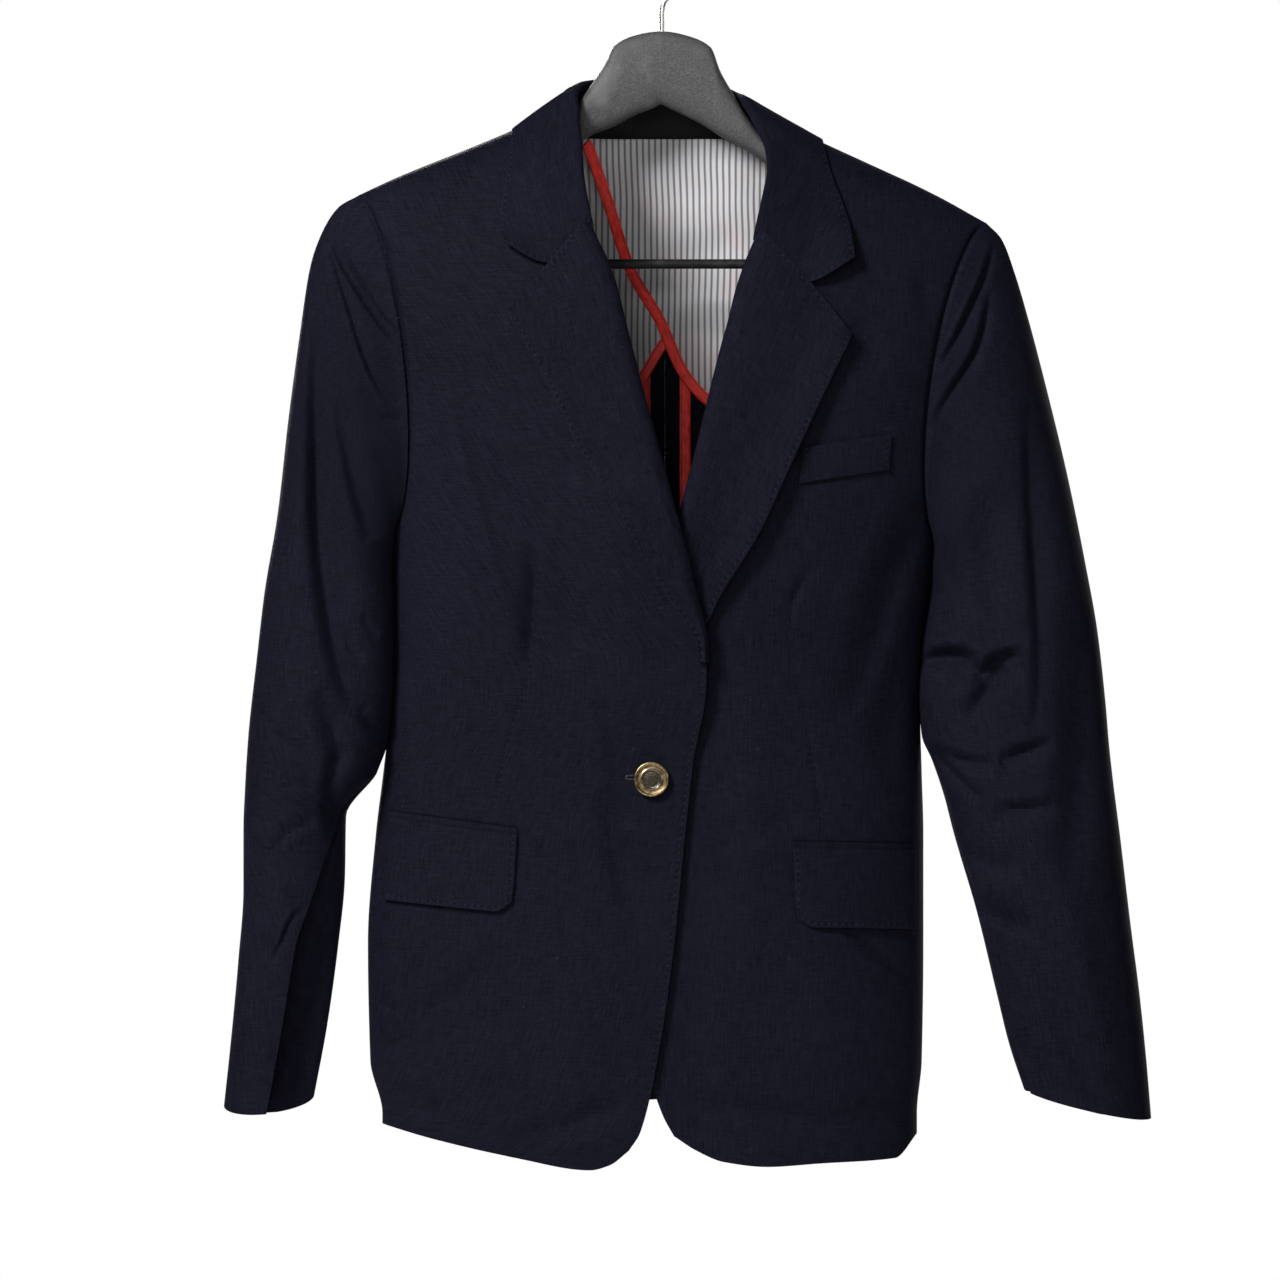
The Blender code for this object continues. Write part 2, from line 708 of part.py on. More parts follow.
def sleeve_point(side, part, angle):
    """A point of the sleeve: part runs from armhole to cuff, angle from the outer edge over the front."""
    table = RIGHT_SLEEVE if side == "right" else LEFT_SLEEVE
    folds = RIGHT_SLEEVE_FOLDS if side == "right" else LEFT_SLEEVE_FOLDS
    hole = ARMHOLES[side]
    read = {name: table.at(name, part) for name in table.names[1:]}
    cosine, sine = math.cos(angle), math.sin(angle)
    share = abs(sine)
    (top_x, top_z), (foot_x, foot_z) = hole["top"], hole["foot"]
    bow = hole["front_bow" if sine > 0 else "back_bow"] * share**UNDERARM_SHARE
    across = (1 + cosine) / 2
    x = mix(read["in_x"], read["out_x"], across) + bow * (1 - smooth(part / 0.34))
    z = mix(read["in_z"], read["out_z"], across) - read["tilt"] * sine
    face = "front" if sine > 0 else "back"
    tube = read["middle_y"] - math.copysign(read[face] * share**0.8, sine)
    seam_x, seam_z = mix(foot_x, top_x, across) + bow, mix(foot_z, top_z, across)
    on_body = front_depth(seam_x, seam_z, side) if sine > 0 else body_depth(seam_x, seam_z, face)
    joined = -on_body if sine > 0 else on_body
    y = mix(joined, tube, smooth(part / 0.22))
    if sine > 0:
        y -= fold_relief(x, z, folds) * smooth(share / 0.5) * smooth(part / 0.1)
    gap = mix(ARMHOLE_GAP, SLEEVE_GAP, smooth(part / 0.25))
    z += 1.8 * ARMHOLE_GAP * smooth((cosine - 0.2) / 0.7) * (1 - smooth(part / 0.2))
    return Vector((x - gap if side == "right" else x + gap, y, z))


def sleeve_ring(side, part):
    """Points round the sleeve: the upper sleeve's, then the under sleeve's."""
    table = RIGHT_SLEEVE if side == "right" else LEFT_SLEEVE
    fold, behind = table.at("fold", part), table.at("behind", part)
    seam = min(math.acos(1 - 2 * fold), FRONT_SEAM_LIMIT)
    back_seam = BACK_SEAM_ANGLE
    upper = [sleeve_point(side, part, mix(back_seam, 0, i / 4)) for i in range(4)]
    upper += [sleeve_point(side, part, seam * i / 8) for i in range(9)]
    edge = upper[-1]
    outward = -1 if side == "right" else 1
    turned = smooth(behind / 5)
    under = []
    steps = 8
    start = seam + math.radians(13)
    end = math.tau + back_seam - math.radians(1.7)
    for i in range(steps + 1):
        angle = mix(start, end, i / steps)
        point = sleeve_point(side, part, angle)
        if math.sin(angle) > 0:
            point.y += behind * math.sin(angle) ** 0.8
        under.append(point)
    # Below the elbow the upper sleeve's fold turns back to the under sleeve, which starts behind it
    tucked = Vector((edge.x + outward * 6.5, under[0].y + 0.5, edge.z))
    under[0] = under[0].lerp(tucked, turned)
    turn_end = Vector((edge.x + outward * 3.2, under[0].y - CLOTH - 1.0, edge.z))
    turn_middle = Vector((edge.x + outward * 2.4, mix(edge.y, turn_end.y, 0.5), edge.z))
    upper.append(sleeve_point(side, part, seam + math.radians(4.8)).lerp(turn_middle, turned))
    upper.append(sleeve_point(side, part, seam + math.radians(9.6)).lerp(turn_end, turned))
    return upper, under


def sleeve(side, finish):
    """The upper and under sleeve of one arm."""
    parts = SLEEVE_PARTS
    rings = [sleeve_ring(side, part) for part in parts]
    table = RIGHT_SLEEVE if side == "right" else LEFT_SLEEVE

    def away(point):
        part = min(parts, key=lambda p: abs(table.at("out_z", p) + table.at("in_z", p) - 2 * point.z))
        middle_x = (table.at("out_x", part) + table.at("in_x", part)) / 2
        return Vector((point.x - middle_x, point.y - table.at("middle_y", part), 0)).normalized()

    cloth(f"upper_sleeve_{side}", [upper for upper, _ in rings], CLOTH, finish, away)
    cloth(f"under_sleeve_{side}", [under for _, under in rings], CLOTH, finish, away)


def lapel(side, panel, finish):
    """One lapel, from the facing's edge inside, round the roll line and out to the lapel's edge."""
    table = RIGHT_LAPEL if side == "right" else LEFT_LAPEL
    edge = RIGHT_FRONT_EDGE if side == "right" else LEFT_FRONT_EDGE
    outward = -1 if side == "right" else 1
    low_z, high_z = table.keys[0], table.keys[-1]
    grid = []
    for v in spread(LAPEL_ROWS):
        z = mix(low_z, high_z, v)
        roll_x = edge.at("x", z)
        edge_x, edge_z = table.at("edge_x", z), table.at("edge_z", z)
        width = max(abs(edge_x - roll_x), 5.0)
        narrow = smooth(width / 24.0)
        at_roll = -laid_on(panel, roll_x + outward * 0.5, z, 0, side).y
        row = []
        for across, out in LAPEL_TURN:
            x = roll_x + outward * across * mix(0.6, 1, narrow)
            row.append((x, -at_roll - out * mix(0.8, 1, narrow), z))
        for i in range(1, 7):
            share = i / 6
            x = mix(roll_x + outward * 3.2 * narrow, roll_x + outward * width, share)
            level = mix(z, edge_z, (abs(x - roll_x) / width) ** GORGE_BEND[side])
            rest = LAPEL_REST + LAPEL_ROLL * (1 - smooth(share * 1.3)) * mix(0.5, 1, narrow)
            row.append(laid_on(panel, x, level, rest, side, 3.0))
        grid.append(row)
    cloth(f"lapel_{side}", grid, CLOTH, finish, forward)


def on_body(point, gap):
    """A collar point held off the body's cloth: on the front where it has no y of its own."""
    x, y, z = point
    side = "left" if x > 0 else "right"
    if y is ON_FRONT:
        return Vector((x, -front_depth(x, z, side) - gap, z))
    return Vector(point)


def along(points, share):
    """A point on the smooth curve through some points, by its share of their number."""
    count = len(points) - 1
    place = min(max(share, 0.0), 1.0) * count
    i = min(int(place), count - 1)
    t = place - i
    a, b, c, d = (points[min(max(j, 0), count)] for j in (i - 1, i, i + 1, i + 2))
    curve = (2 * a - 5 * b + 4 * c - d) * t * t + (3 * b - 3 * c + d - a) * t**3
    return 0.5 * (2 * b + (c - a) * t + curve)


def collar_edges():
    fold = [on_body(point, 4.2) for point in COLLAR_FOLD]
    outer = [on_body(point, 3.2) for point in COLLAR_EDGE]
    return fold, outer


def clear_of_body(point, gap):
    """A collar point pushed out until it clears the fronts, the back and the shoulder seam."""
    x, y, z = point
    side = "left" if x > 0 else "right"
    if y < 0:
        return Vector((x, min(y, -front_depth(x, z, side) - gap), z))
    return Vector((x, max(y, body_depth(x, z, "back") + gap), z))


def collar_grid(columns, rows):
    """The collar's leaf, from the fold line to its outer edge, round the whole neck."""
    fold, outer = collar_edges()
    grid = []
    for t in spread(columns):
        top, foot = along(fold, t), along(outer, t)
        line = []
        for w in spread(rows):
            point = top.lerp(foot, w)
            near_end = 1 - smooth(min(t, 1 - t) / 0.12)
            end = RIGHT_COLLAR_END if t < 0.5 else LEFT_COLLAR_END
            point.x += near_end * (end.at("x", w) - mix(end.at("x", 0), end.at("x", 1), w))
            point.z += near_end * (end.at("z", w) - mix(end.at("z", 0), end.at("z", 1), w))
            away = Vector((point.x, point.y + 6, 0)).normalized()
            point += away * COLLAR_BULGE * math.sin(math.pi * w) * (1 - near_end)
            line.append(clear_of_body(point, 3.0 + 1.2 * (1 - w)))
        inward = Vector((-top.x, -top.y * 0.6, 0)).normalized()
        lip = top + inward * 2.4 + Vector((0, 0, -2.6))
        grid.append([lip, top + inward * 1.2 + Vector((0, 0, -0.2))] + line)
    return grid


def neck_away(point):
    return Vector((point.x, point.y, 14)).normalized()


def collar(finish):
    cloth("collar", collar_grid(COLLAR_COLUMNS, COLLAR_ROWS), CLOTH, finish, neck_away)


def collar_stand(finish):
    """The collar's stand inside the neck, under the fold line."""
    fold, _ = collar_edges()
    low, high = STAND_HEIGHT.keys[0], STAND_HEIGHT.keys[-1]
    grid = []
    for s in spread(15):
        t = mix(low, high, s)
        top = along(fold, t)
        inward = Vector((-top.x, -top.y * 0.6, 0)).normalized()
        height = STAND_HEIGHT.at("height", t)
        row = []
        for w in spread(3):
            drop = mix(5.0, height, w)
            row.append(top + inward * mix(2.8, 2.2, w) + Vector((0, 0, -drop)))
        grid.append(row)
    cloth("collar_stand", grid, CLOTH, finish, lambda p: Vector((-p.x, -p.y, 0)).normalized())


def neck_facing(back, finish):
    """The facing inside the back of the neck; the place for a label is bare."""
    grid = []
    for w in spread(3):
        z = mix(NECK_FACING_TOP_Z, NECK_FACING_FOOT_Z, w)
        half = mix(43, 49, w)
        row = [mix(-half, half, u) for u in spread(14)]
        grid.append([laid_on(back, x, z, NECK_FACING_DEPTH, None, LINING_REACH) for x in row])
    cloth("neck_facing", grid, LINING, finish, forward)


def lining_edge_z(side, x):
    return (LEFT_LINING_EDGE if side == "left" else RIGHT_LINING_EDGE).at("z", x)


def lining(side, back, finish, trim):
    """One striped piece of the half lining and the binding on its slanting edge."""
    depth = LINING_DEPTH[side]
    low_x, high_x = LINING_SPAN[side]
    grid = [[] for _ in range(LINING_ROWS)]
    for s in spread(LINING_COLUMNS):
        x = mix(low_x, high_x, s)
        below_shoulder = mix(24, 40, smooth((abs(x) - 60) / 30))
        top = min(LINING_TOP_Z, BACK_TOP.at("z", x) - below_shoulder)
        foot = min(lining_edge_z(side, x), top - 5.0)
        for row, w in zip(grid, spread(LINING_ROWS)):
            row.append(laid_on(back, x, mix(top, foot, w), depth, None, LINING_REACH))
    cloth(f"lining_{side}", grid, LINING, finish, forward)
    trim_low, trim_high = TRIM_SPAN[side]
    edges = ([], [])
    for s in spread(30):
        x = mix(trim_low, trim_high, s)
        slope = (lining_edge_z(side, x + 1) - lining_edge_z(side, x - 1)) / 2
        across = Vector((-slope, 0, 1)).normalized()
        for edge, reach in zip(edges, (-0.6, BINDING_WIDTH)):
            place = Vector((x, 0, lining_edge_z(side, x))) + across * reach
            edge.append(laid_on(back, place.x, place.z, depth + BINDING_RISE, None, 1.4 * LINING_REACH))
    cloth(f"lining_binding_{side}", edges, BINDING, trim, forward)


def allowance(side, back, finish, trim):
    """One pressed-open allowance of the middle back seam, with its bound edge."""
    sign = -1 if side == "right" else 1
    near = MIDDLE_SEAM_X + ALLOWANCE_NEAR[side]
    far = near + sign * ALLOWANCE_WIDTH
    bound = far + sign * (BINDING_WIDTH + 0.4)
    heights = [mix(ALLOWANCE_TOP_Z, ALLOWANCE_FOOT_Z, s) for s in spread(11)]
    depth = CLOTH + 0.5 + LINING
    grid = [[laid_on(back, x, z, depth) for x in (near, far)] for z in heights]
    cloth(f"allowance_{side}", grid, LINING, finish, forward)
    grid = [[laid_on(back, x, z, depth + 0.4) for x in (far + sign * 0.4, bound)] for z in heights]
    cloth(f"allowance_binding_{side}", grid, BINDING, trim, forward)


def laid_patch(name, panel, corners, side, finish, gap, thickness, columns, rows, rounded=False):
    """A four-cornered piece laid on a front: its points are the front's, moved out."""
    (ax, az), (bx, bz), (cx, cz), (dx, dz) = corners
    grid = []
    for v in spread(rows):
        row = []
        for u in spread(columns):
            x = mix(mix(ax, bx, u), mix(dx, cx, u), v)
            z = mix(mix(az, bz, u), mix(dz, cz, u), v)
            if rounded and v > 0.6:
                near = max(0.0, 1 - u / 0.16)
                z += FLAP_CORNER * near * near * smooth((v - 0.6) / 0.4)
            row.append(laid_on(panel, x, z, gap + thickness, side))
        grid.append(row)
    cloth(name, grid, thickness, finish, forward)


def pockets(panels, finish):
    for side, flap, jet in (("right", RIGHT_FLAP, RIGHT_JET), ("left", LEFT_FLAP, LEFT_JET)):
        laid_patch(f"pocket_flap_{side}", panels[side], flap, side, finish, 0.8, CLOTH, 11, 5, True)
        laid_patch(f"pocket_jet_{side}", panels[side], jet, side, finish, 0.9, 1.0, 11, 2)
    laid_patch("chest_welt", panels["left"], CHEST_WELT, "left", finish, 0.7, CLOTH, 7, 3)


def button_ring(radius, y, count):
    turns = [math.tau * i / count for i in range(count)]
    return [(BUTTON_X + radius * math.cos(a), y, BUTTON_Z + radius * math.sin(a)) for a in turns]


def button(metal, thread):
    """The button: a turned disc with a raised rim and a shank, sewn through the overlap."""
    face = front_depth(BUTTON_X, BUTTON_Z, "right")
    back_y = -face - 1.6
    profile = (
        (2.2, 0.0), (BUTTON_RADIUS - 1.4, 0.0), (BUTTON_RADIUS, 0.9),
        (BUTTON_RADIUS, BUTTON_THICK - 0.7), (BUTTON_RADIUS - 0.7, BUTTON_THICK),
        (BUTTON_RADIUS - 1.6, BUTTON_THICK), (BUTTON_RADIUS - 2.6, BUTTON_THICK - 0.9),
    )
    rings = [button_ring(radius, back_y - out, 24) for radius, out in profile]
    solid("button", rings, metal)
    post = [button_ring(THREAD_RADIUS, y, 10) for y in (-face - 0.3, back_y + 0.3)]
    solid("button_thread", post, thread)


def hanger_ring(x):
    """An outline across the hanger's arm: flat faces with rounded edges."""
    top, low, half = HANGER.at("top", x), HANGER.at("low", x), HANGER.at("half", x)
    middle, tall = (top + low) / 2, (top - low) / 2
    ring = []
    for i in range(10):
        a = math.tau * (i + 0.5) / 10
        across, up = math.cos(a), math.sin(a)
        y = half * math.copysign(abs(across) ** HANGER_FLATNESS, across)
        ring.append((x, y, middle + tall * math.copysign(abs(up) ** 0.9, up)))
    return ring


def hanger(body, metal, bar):
    stations = [float(x) for x in HANGER.keys]
    stations += [(a + b) / 2 for a, b in zip(stations, stations[1:])]
    solid("hanger_arms", [hanger_ring(x) for x in sorted(stations)], body)
    turns = [math.tau * i / 10 for i in range(10)]
    across = [(BAR_RADIUS * math.cos(a), BAR_Z + BAR_RADIUS * math.sin(a)) for a in turns]
    solid("hanger_bar", [[(x, y, z) for y, z in across] for x in (BAR_LEFT_X, BAR_RIGHT_X)], bar)
    hook(metal)


def hook(metal):
    """The hook: a straight stem, a turn to the side and a bend over the rail."""
    centre_z = HOOK_WIRE / 2 - HOOK_BEND
    route = [Vector((0.6, 0, HOOK_FOOT_Z + 0.3)), Vector((0.6, 0, -46)), Vector((2.2, 0, -39.5))]
    route += [Vector((7.5, 0, -34.5)), Vector((14.5, 0, -29.5))]
    for i in range(15):
        a = math.radians(mix(-12, 205, i / 14))
        route.append(Vector((HOOK_BEND * math.cos(a), 0, centre_z + HOOK_BEND * math.sin(a))))
    curve = bpy.data.curves.new("hanger_hook", "CURVE")
    curve.dimensions = "3D"
    curve.bevel_depth = HOOK_WIRE / 2 * METRE
    curve.bevel_resolution = 2
    curve.use_fill_caps = True
    line = curve.splines.new("POLY")
    line.points.add(len(route) - 1)
    for point, place in zip(line.points, route):
        point.co = (*(place * METRE), 1)
    made = bpy.data.objects.new("hanger_hook", curve)
    bpy.context.scene.collection.objects.link(made)
    curve.materials.append(metal)


def build():
    clear_scene()
    navy = material("navy_cloth", (0.010, 0.010, 0.018), 0.75)
    striped = material("striped_lining", (0.50, 0.48, 0.49), 0.55)
    red = material("red_binding", (0.50, 0.02, 0.015), 0.5)
    black = material("black_facing", (0.006, 0.006, 0.008), 0.6)
    bronze = material("bronze_button", (0.16, 0.12, 0.07), 0.25, 1.0)
    grey = material("hanger_grey", (0.07, 0.07, 0.072), 0.6)
    steel = material("hook_steel", (0.55, 0.53, 0.50), 0.25, 1.0)
    dark = material("bar_black", (0.02, 0.02, 0.02), 0.35)
    panels = {side: front_panel(side, navy) for side in ("right", "left")}
    back = faces_tree(*[back_panel(side, navy) for side in ("right", "left")])
    for side, panel in panels.items():
        sleeve(side, navy)
        lapel(side, panel, navy)
        lining(side, back, striped, red)
        allowance(side, back, navy, red)
    collar(navy)
    collar_stand(navy)
    neck_facing(back, black)
    pockets(panels, navy)
    button(bronze, navy)
    hanger(grey, steel, dark)


build()
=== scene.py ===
"""The looks of a tailored jacket hung closed on a broad hanger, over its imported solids.

+X is the wearer's left, the front faces -Y and +Z is up. Sizes are millimetres until a mesh is made.
"""

import math

import bpy
import numpy as np
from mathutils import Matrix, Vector
from mathutils.bvhtree import BVHTree


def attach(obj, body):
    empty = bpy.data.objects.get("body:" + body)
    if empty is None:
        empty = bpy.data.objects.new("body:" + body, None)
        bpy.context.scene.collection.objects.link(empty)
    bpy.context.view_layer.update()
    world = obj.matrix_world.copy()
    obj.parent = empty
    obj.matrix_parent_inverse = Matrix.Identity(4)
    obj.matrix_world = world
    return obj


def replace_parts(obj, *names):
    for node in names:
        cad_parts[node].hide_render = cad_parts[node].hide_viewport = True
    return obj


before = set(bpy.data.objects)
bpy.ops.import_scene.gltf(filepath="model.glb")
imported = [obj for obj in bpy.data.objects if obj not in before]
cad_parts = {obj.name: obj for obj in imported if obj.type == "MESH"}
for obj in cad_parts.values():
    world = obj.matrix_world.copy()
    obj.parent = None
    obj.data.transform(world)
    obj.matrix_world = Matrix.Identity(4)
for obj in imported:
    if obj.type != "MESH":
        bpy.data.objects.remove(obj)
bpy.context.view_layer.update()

MM = 0.001

# The photograph's view: where the camera stands and the depth at which its scale holds
CAMERA = (-13.0, -12000.0, -436.0)
FRAME_WIDTH = 793.6
SCALE_Y = -20.0

# Walls of the cloth
CLOTH = 1.4
DOUBLE_CLOTH = 1.9
JET_CLOTH = 0.9
LINING = 0.6
BINDING_CLOTH = 0.5

# Button, hook and bar, as the solids have them
BUTTON_X, BUTTON_Z = -6.0, -522.0
HOOK_WIRE = 3.1
HOOK_BEND = 20.5
HOOK_FOOT_Z = -58.0
BAR_Z = -202.5
BAR_RADIUS = 3.0
BAR_ENDS = (-161.3, 170.9)

SIDES = ("right", "left")
OUTWARD = {"right": -1, "left": 1}

# How the body rounds off at its sides and under its shoulder seams, the least depth of its cloth,
# how an armhole's bow swells, and how far below the armhole a panel's edge reaches the side
SIDE_POWER, SIDE_ROOT = 2.6, 0.38
TOP_POWER, TOP_ROOT = 2.4, 0.55
TOP_DROP = 150.0
LEAST_DEPTH = 0.15
BOW_POWER = 1.2
UNDERARM_FADE = 30.0

# The share of a panel's height over which its hem and its shoulder seam take their own shapes, and
# where the shoulder seam's starts
END_SHARE, TOP_START = 0.3, 0.7

# A crease: the depth of body over which it fades in, the power of its fading towards its ends, the
# width of its sharp form, and where its roll lies and how wide that is, as shares of its width
CREASE_FADE = 30.0
CREASE_ENDS = 0.55
SHARP_WIDTH = 0.75
ROLL_AWAY, ROLL_WIDTH = 1.7, 0.9

# The armhole seam's valley: its depth and width, the depth of body over which it fades in, and how
# far away points count as being once they are a fade below the armhole; the middle back seam's valley
SEAM_VALLEY, VALLEY_WIDTH, VALLEY_FADE = 2.4, 1.4, 12.0
VALLEY_CLEAR, VALLEY_FOOT_FADE = 30.0, 20.0
MIDDLE_SEAM_VALLEY, MIDDLE_SEAM_WIDTH = 0.8, 1.8

# How far one layer lifts over another where the fronts overlap, and where that fades in and out:
# the right front over the left one and over its lapel, and the left front under the right one
LAP_LIFT = 2.6
LAPEL_LIFT = 5.2
LAP_START_X, LAP_FADE = -34.0, 50.0
LAP_TOP_Z, LAP_TOP_FADE = -322.0, 26.0
OVER_LAPEL_X, OVER_LAPEL_FADE = -62.0, 45.0
OVER_LAPEL_FOOT_Z, OVER_LAPEL_FOOT_FADE = -512.0, 50.0
UNDERLAP_X, UNDERLAP_FADE = 60.0, 40.0

# Rays that lay one piece on another start in front of all cloth; where they meet cloth that turns away
# from them, its normal counts as pointing at them by at least this share
BEFORE_ALL_Y = -300
LEAST_FACING = 0.35

# Stitches along the edges, in metres; points with no stitched edge count as this far in, in mm
STITCH_PITCH, STITCH_INSET = 0.0044, 0.0024
FAR_FROM_EDGE = 50.0

# A sheet's area is at least this share of its flat width times its flat length
LEAST_AREA = 0.31


# ---- Tables of the form ----


class Table:
    """A short table read smoothly: the first column is the key, the others follow it."""

    def __init__(self, names, *rows):
        self.names = names.split()
        self.rows = np.array(sorted(rows), float)
        self.keys = self.rows[:, 0]
        self.slopes = [self._slopes(column) for column in self.rows.T]

    def _slopes(self, values):
        """Slopes that never overshoot the rows (monotone cubic)."""
        step = np.diff(values) / np.diff(self.keys)
        slopes = np.empty(len(values))
        slopes[0], slopes[-1] = step[0], step[-1]
        for i in range(1, len(step)):
            before, after = step[i - 1], step[i]
            slopes[i] = 0.0 if before * after <= 0 else 2 * before * after / (before + after)
        return slopes

    def at(self, name, key):
        column = self.names.index(name)
        key = np.clip(key, self.keys[0], self.keys[-1])
        i = np.clip(np.searchsorted(self.keys, key, side="right") - 1, 0, len(self.keys) - 2)
        width = self.keys[i + 1] - self.keys[i]
        t = (key - self.keys[i]) / width
        low, high = self.rows[i, column], self.rows[i + 1, column]
        start, end = self.slopes[column][i] * width, self.slopes[column][i + 1] * width
        return (
            low * (2 * t**3 - 3 * t**2 + 1)
            + start * (t**3 - 2 * t**2 + t)
            + high * (3 * t**2 - 2 * t**3)
            + end * (t**3 - t**2)
        )


def as_seen(y, *rows):
    """Rows of x and z read off the front view, moved to where they lie at a depth y."""
    grown = (y - CAMERA[1]) / (SCALE_Y - CAMERA[1])
    return [(CAMERA[0] + (x - CAMERA[0]) * grown, CAMERA[2] + (z - CAMERA[2]) * grown) for x, z in rows]


# The body: half widths to each side and depths to front and back, by height
BODY = Table(
    "z right left front back",
    (-770, -173, 159, 50, 44), (-730, -173, 159, 50, 44), (-697, -180.5, 162, 51, 45),
    (-624, -182, 163, 53, 47), (-556, -177, 163, 54, 47), (-519, -172.5, 162, 54, 46),
    (-478, -168, 161, 56, 46), (-442, -166, 163, 59, 48), (-399, -166, 169, 63, 51),
    (-372, -167, 173, 66, 54), (-330, -173, 180, 68, 56), (-260, -182, 190, 66, 55),
    (-190, -191, 205, 60, 50), (-90, -200, 214, 52, 44),
)

# Where front and back meet on top, by x: the shoulder seams, carried on over the neck
SHOULDERS = (
    (-200, -166), (-188, -160), (-161, -147.8), (-112, -128.5), (-89, -119), (-57, -104),
    (57, -108), (97, -126.5), (136, -144), (155, -152.5), (174, -161.8), (202, -177), (216, -184),
)
FRONT_TOP = Table("x z", *SHOULDERS, (-40, -94), (0, -90), (40, -96))
BACK_TOP = Table("x z", *SHOULDERS, (-38, -66), (0, -42), (38, -70))

# Front edges and roll lines, from the lower corner up to the neck, and the hems
RIGHT_FRONT_EDGE = Table(
    "z x",
    (-752, -20), (-741, -13), (-705, -4), (-634, 7), (-555, 15), (-511, 20), (-463, 28), (-445, 28),
    (-393, 19), (-338, 4), (-290, -9), (-252, -19), (-201, -32), (-172, -43), (-139, -50),
    (-104, -57),
)
LEFT_FRONT_EDGE = Table(
    "z x",
    (-743, 8), (-730, 1), (-705, -7), (-666, -13), (-583, -29), (-522, -37), (-460, -29),
    (-420, -10), (-359, 11), (-325, 20), (-256, 37), (-238, 42), (-200, 51), (-167, 63), (-140, 68),
    (-110, 60),
)
RIGHT_HEM = Table("x z", (-173, -736), (-141, -745), (-92, -756), (-44, -764), (-32, -761), (-20, -752))
LEFT_HEM = Table("x z", (8, -743), (22, -752), (39, -759), (66, -762), (98, -760), (145, -757), (159, -742))
BACK_HEM_SIDE_Z, BACK_HEM_MIDDLE_Z = -732.0, -722.0
BACK_NECK_Z = -106.0
MIDDLE_SEAM_X = 2.4
FRONT_EDGE = {"right": RIGHT_FRONT_EDGE, "left": LEFT_FRONT_EDGE}
FRONT_HEM = {"right": RIGHT_HEM, "left": LEFT_HEM}

# Armholes: top and bottom of the ring and how far its middle bows towards the body
ARMHOLES = {
    "right": {"top": (-188, -160), "foot": (-167, -367), "front_bow": 19.5, "back_bow": 12},
    "left": {"top": (202, -177), "foot": (173.5, -377), "front_bow": -21, "back_bow": -13},
}

# Sleeves, from armhole to cuff: outer and inner edges, half depths, where the middle hangs,
# how much deeper the front of the cuff reaches, where the upper sleeve's fold lies across the
# front (1 is at the inner edge) and how far the under sleeve lies behind it
SLEEVE_COLUMNS = "part out_x out_z in_x in_z front back middle_y tilt fold behind"
RIGHT_SLEEVE = Table(
    SLEEVE_COLUMNS,
    (0.00, -188, -160, -167.0, -367, 44, 40, 0, 0, 1.00, 0),
    (0.03, -200, -167, -167.4, -369, 45, 41, 0, 0, 1.00, 0),
    (0.07, -211, -184, -167.6, -372, 46, 41, 0, 0, 1.00, 0),
    (0.12, -218, -205, -167.6, -376, 47, 42, 0, 0, 1.00, 0),
    (0.19, -224, -244, -167.2, -382, 47, 42, -1, 0, 1.00, 0),
    (0.27, -231, -296, -166.6, -391, 46, 42, -2, 0, 1.00, 0),
    (0.35, -238, -358, -166.2, -405, 45, 41, -4, 0, 1.00, 0),
    (0.43, -246, -406, -166.2, -432, 44, 40, -6, 0, 1.00, 0),
    (0.50, -251, -449, -167.1, -462, 43, 39, -8, 0, 1.00, 0),
    (0.57, -256, -495, -169.9, -496, 42, 38, -10, 0, 1.00, 0),
    (0.62, -258, -527, -176.0, -518, 41, 37, -12, 0, 0.98, 0),
    (0.66, -259, -553, -195.3, -545, 40, 36, -13, 0, 0.93, 9),
    (0.72, -259, -590, -196.0, -583, 38, 35, -14, 0, 0.74, 20),
    (0.80, -262, -633, -200.0, -624, 36, 33, -15, 1, 0.57, 24),
    (0.90, -267, -687, -207.0, -675, 33, 31, -16, 3, 0.52, 24),
    (1.00, -271, -724.5, -215.0, -718, 31, 29, -17, 8, 0.48, 22),
)
LEFT_SLEEVE = Table(
    SLEEVE_COLUMNS,
    (0.00, 202, -177, 173.5, -377, 44, 40, 0, 0, 1.00, 0),
    (0.03, 211.5, -187, 174.0, -380, 45, 41, 0, 0, 1.00, 0),
    (0.07, 220, -209, 173.6, -384, 46, 41, 0, 0, 1.00, 0),
    (0.12, 228, -236, 172.2, -389, 47, 42, 0, 0, 1.00, 0),
    (0.19, 239, -278, 170.4, -396, 47, 42, -1, 0, 1.00, 0),
    (0.27, 252, -332, 168.6, -405, 46, 42, -2, 0, 1.00, 0),
    (0.35, 263, -386, 166.6, -417, 45, 41, -4, 0, 1.00, 0),
    (0.43, 271, -431, 163.3, -441, 44, 40, -6, 0, 1.00, 0),
    (0.50, 276, -476, 161.5, -470, 43, 39, -8, 0, 1.00, 0),
    (0.54, 278, -500, 163.4, -495, 42, 38, -9, 0, 1.00, 0),
    (0.57, 280, -519, 169.9, -511, 42, 38, -10, 0, 1.00, 0),
    (0.65, 285, -559, 182.0, -557, 40, 37, -12, 0, 1.00, 0),
    (0.74, 291, -610, 195.8, -604, 38, 35, -14, 1, 0.97, 3),
    (0.84, 297, -657, 207.7, -653, 36, 33, -15, 3, 0.95, 4),
    (0.92, 301, -696, 215.8, -686, 34, 31, -16, 5, 0.95, 4),
    (1.00, 304, -732, 225.0, -714, 32, 29, -17, 4.5, 0.95, 4),
)
SLEEVES = {"right": RIGHT_SLEEVE, "left": LEFT_SLEEVE}
SLEEVE_POWER = 0.8

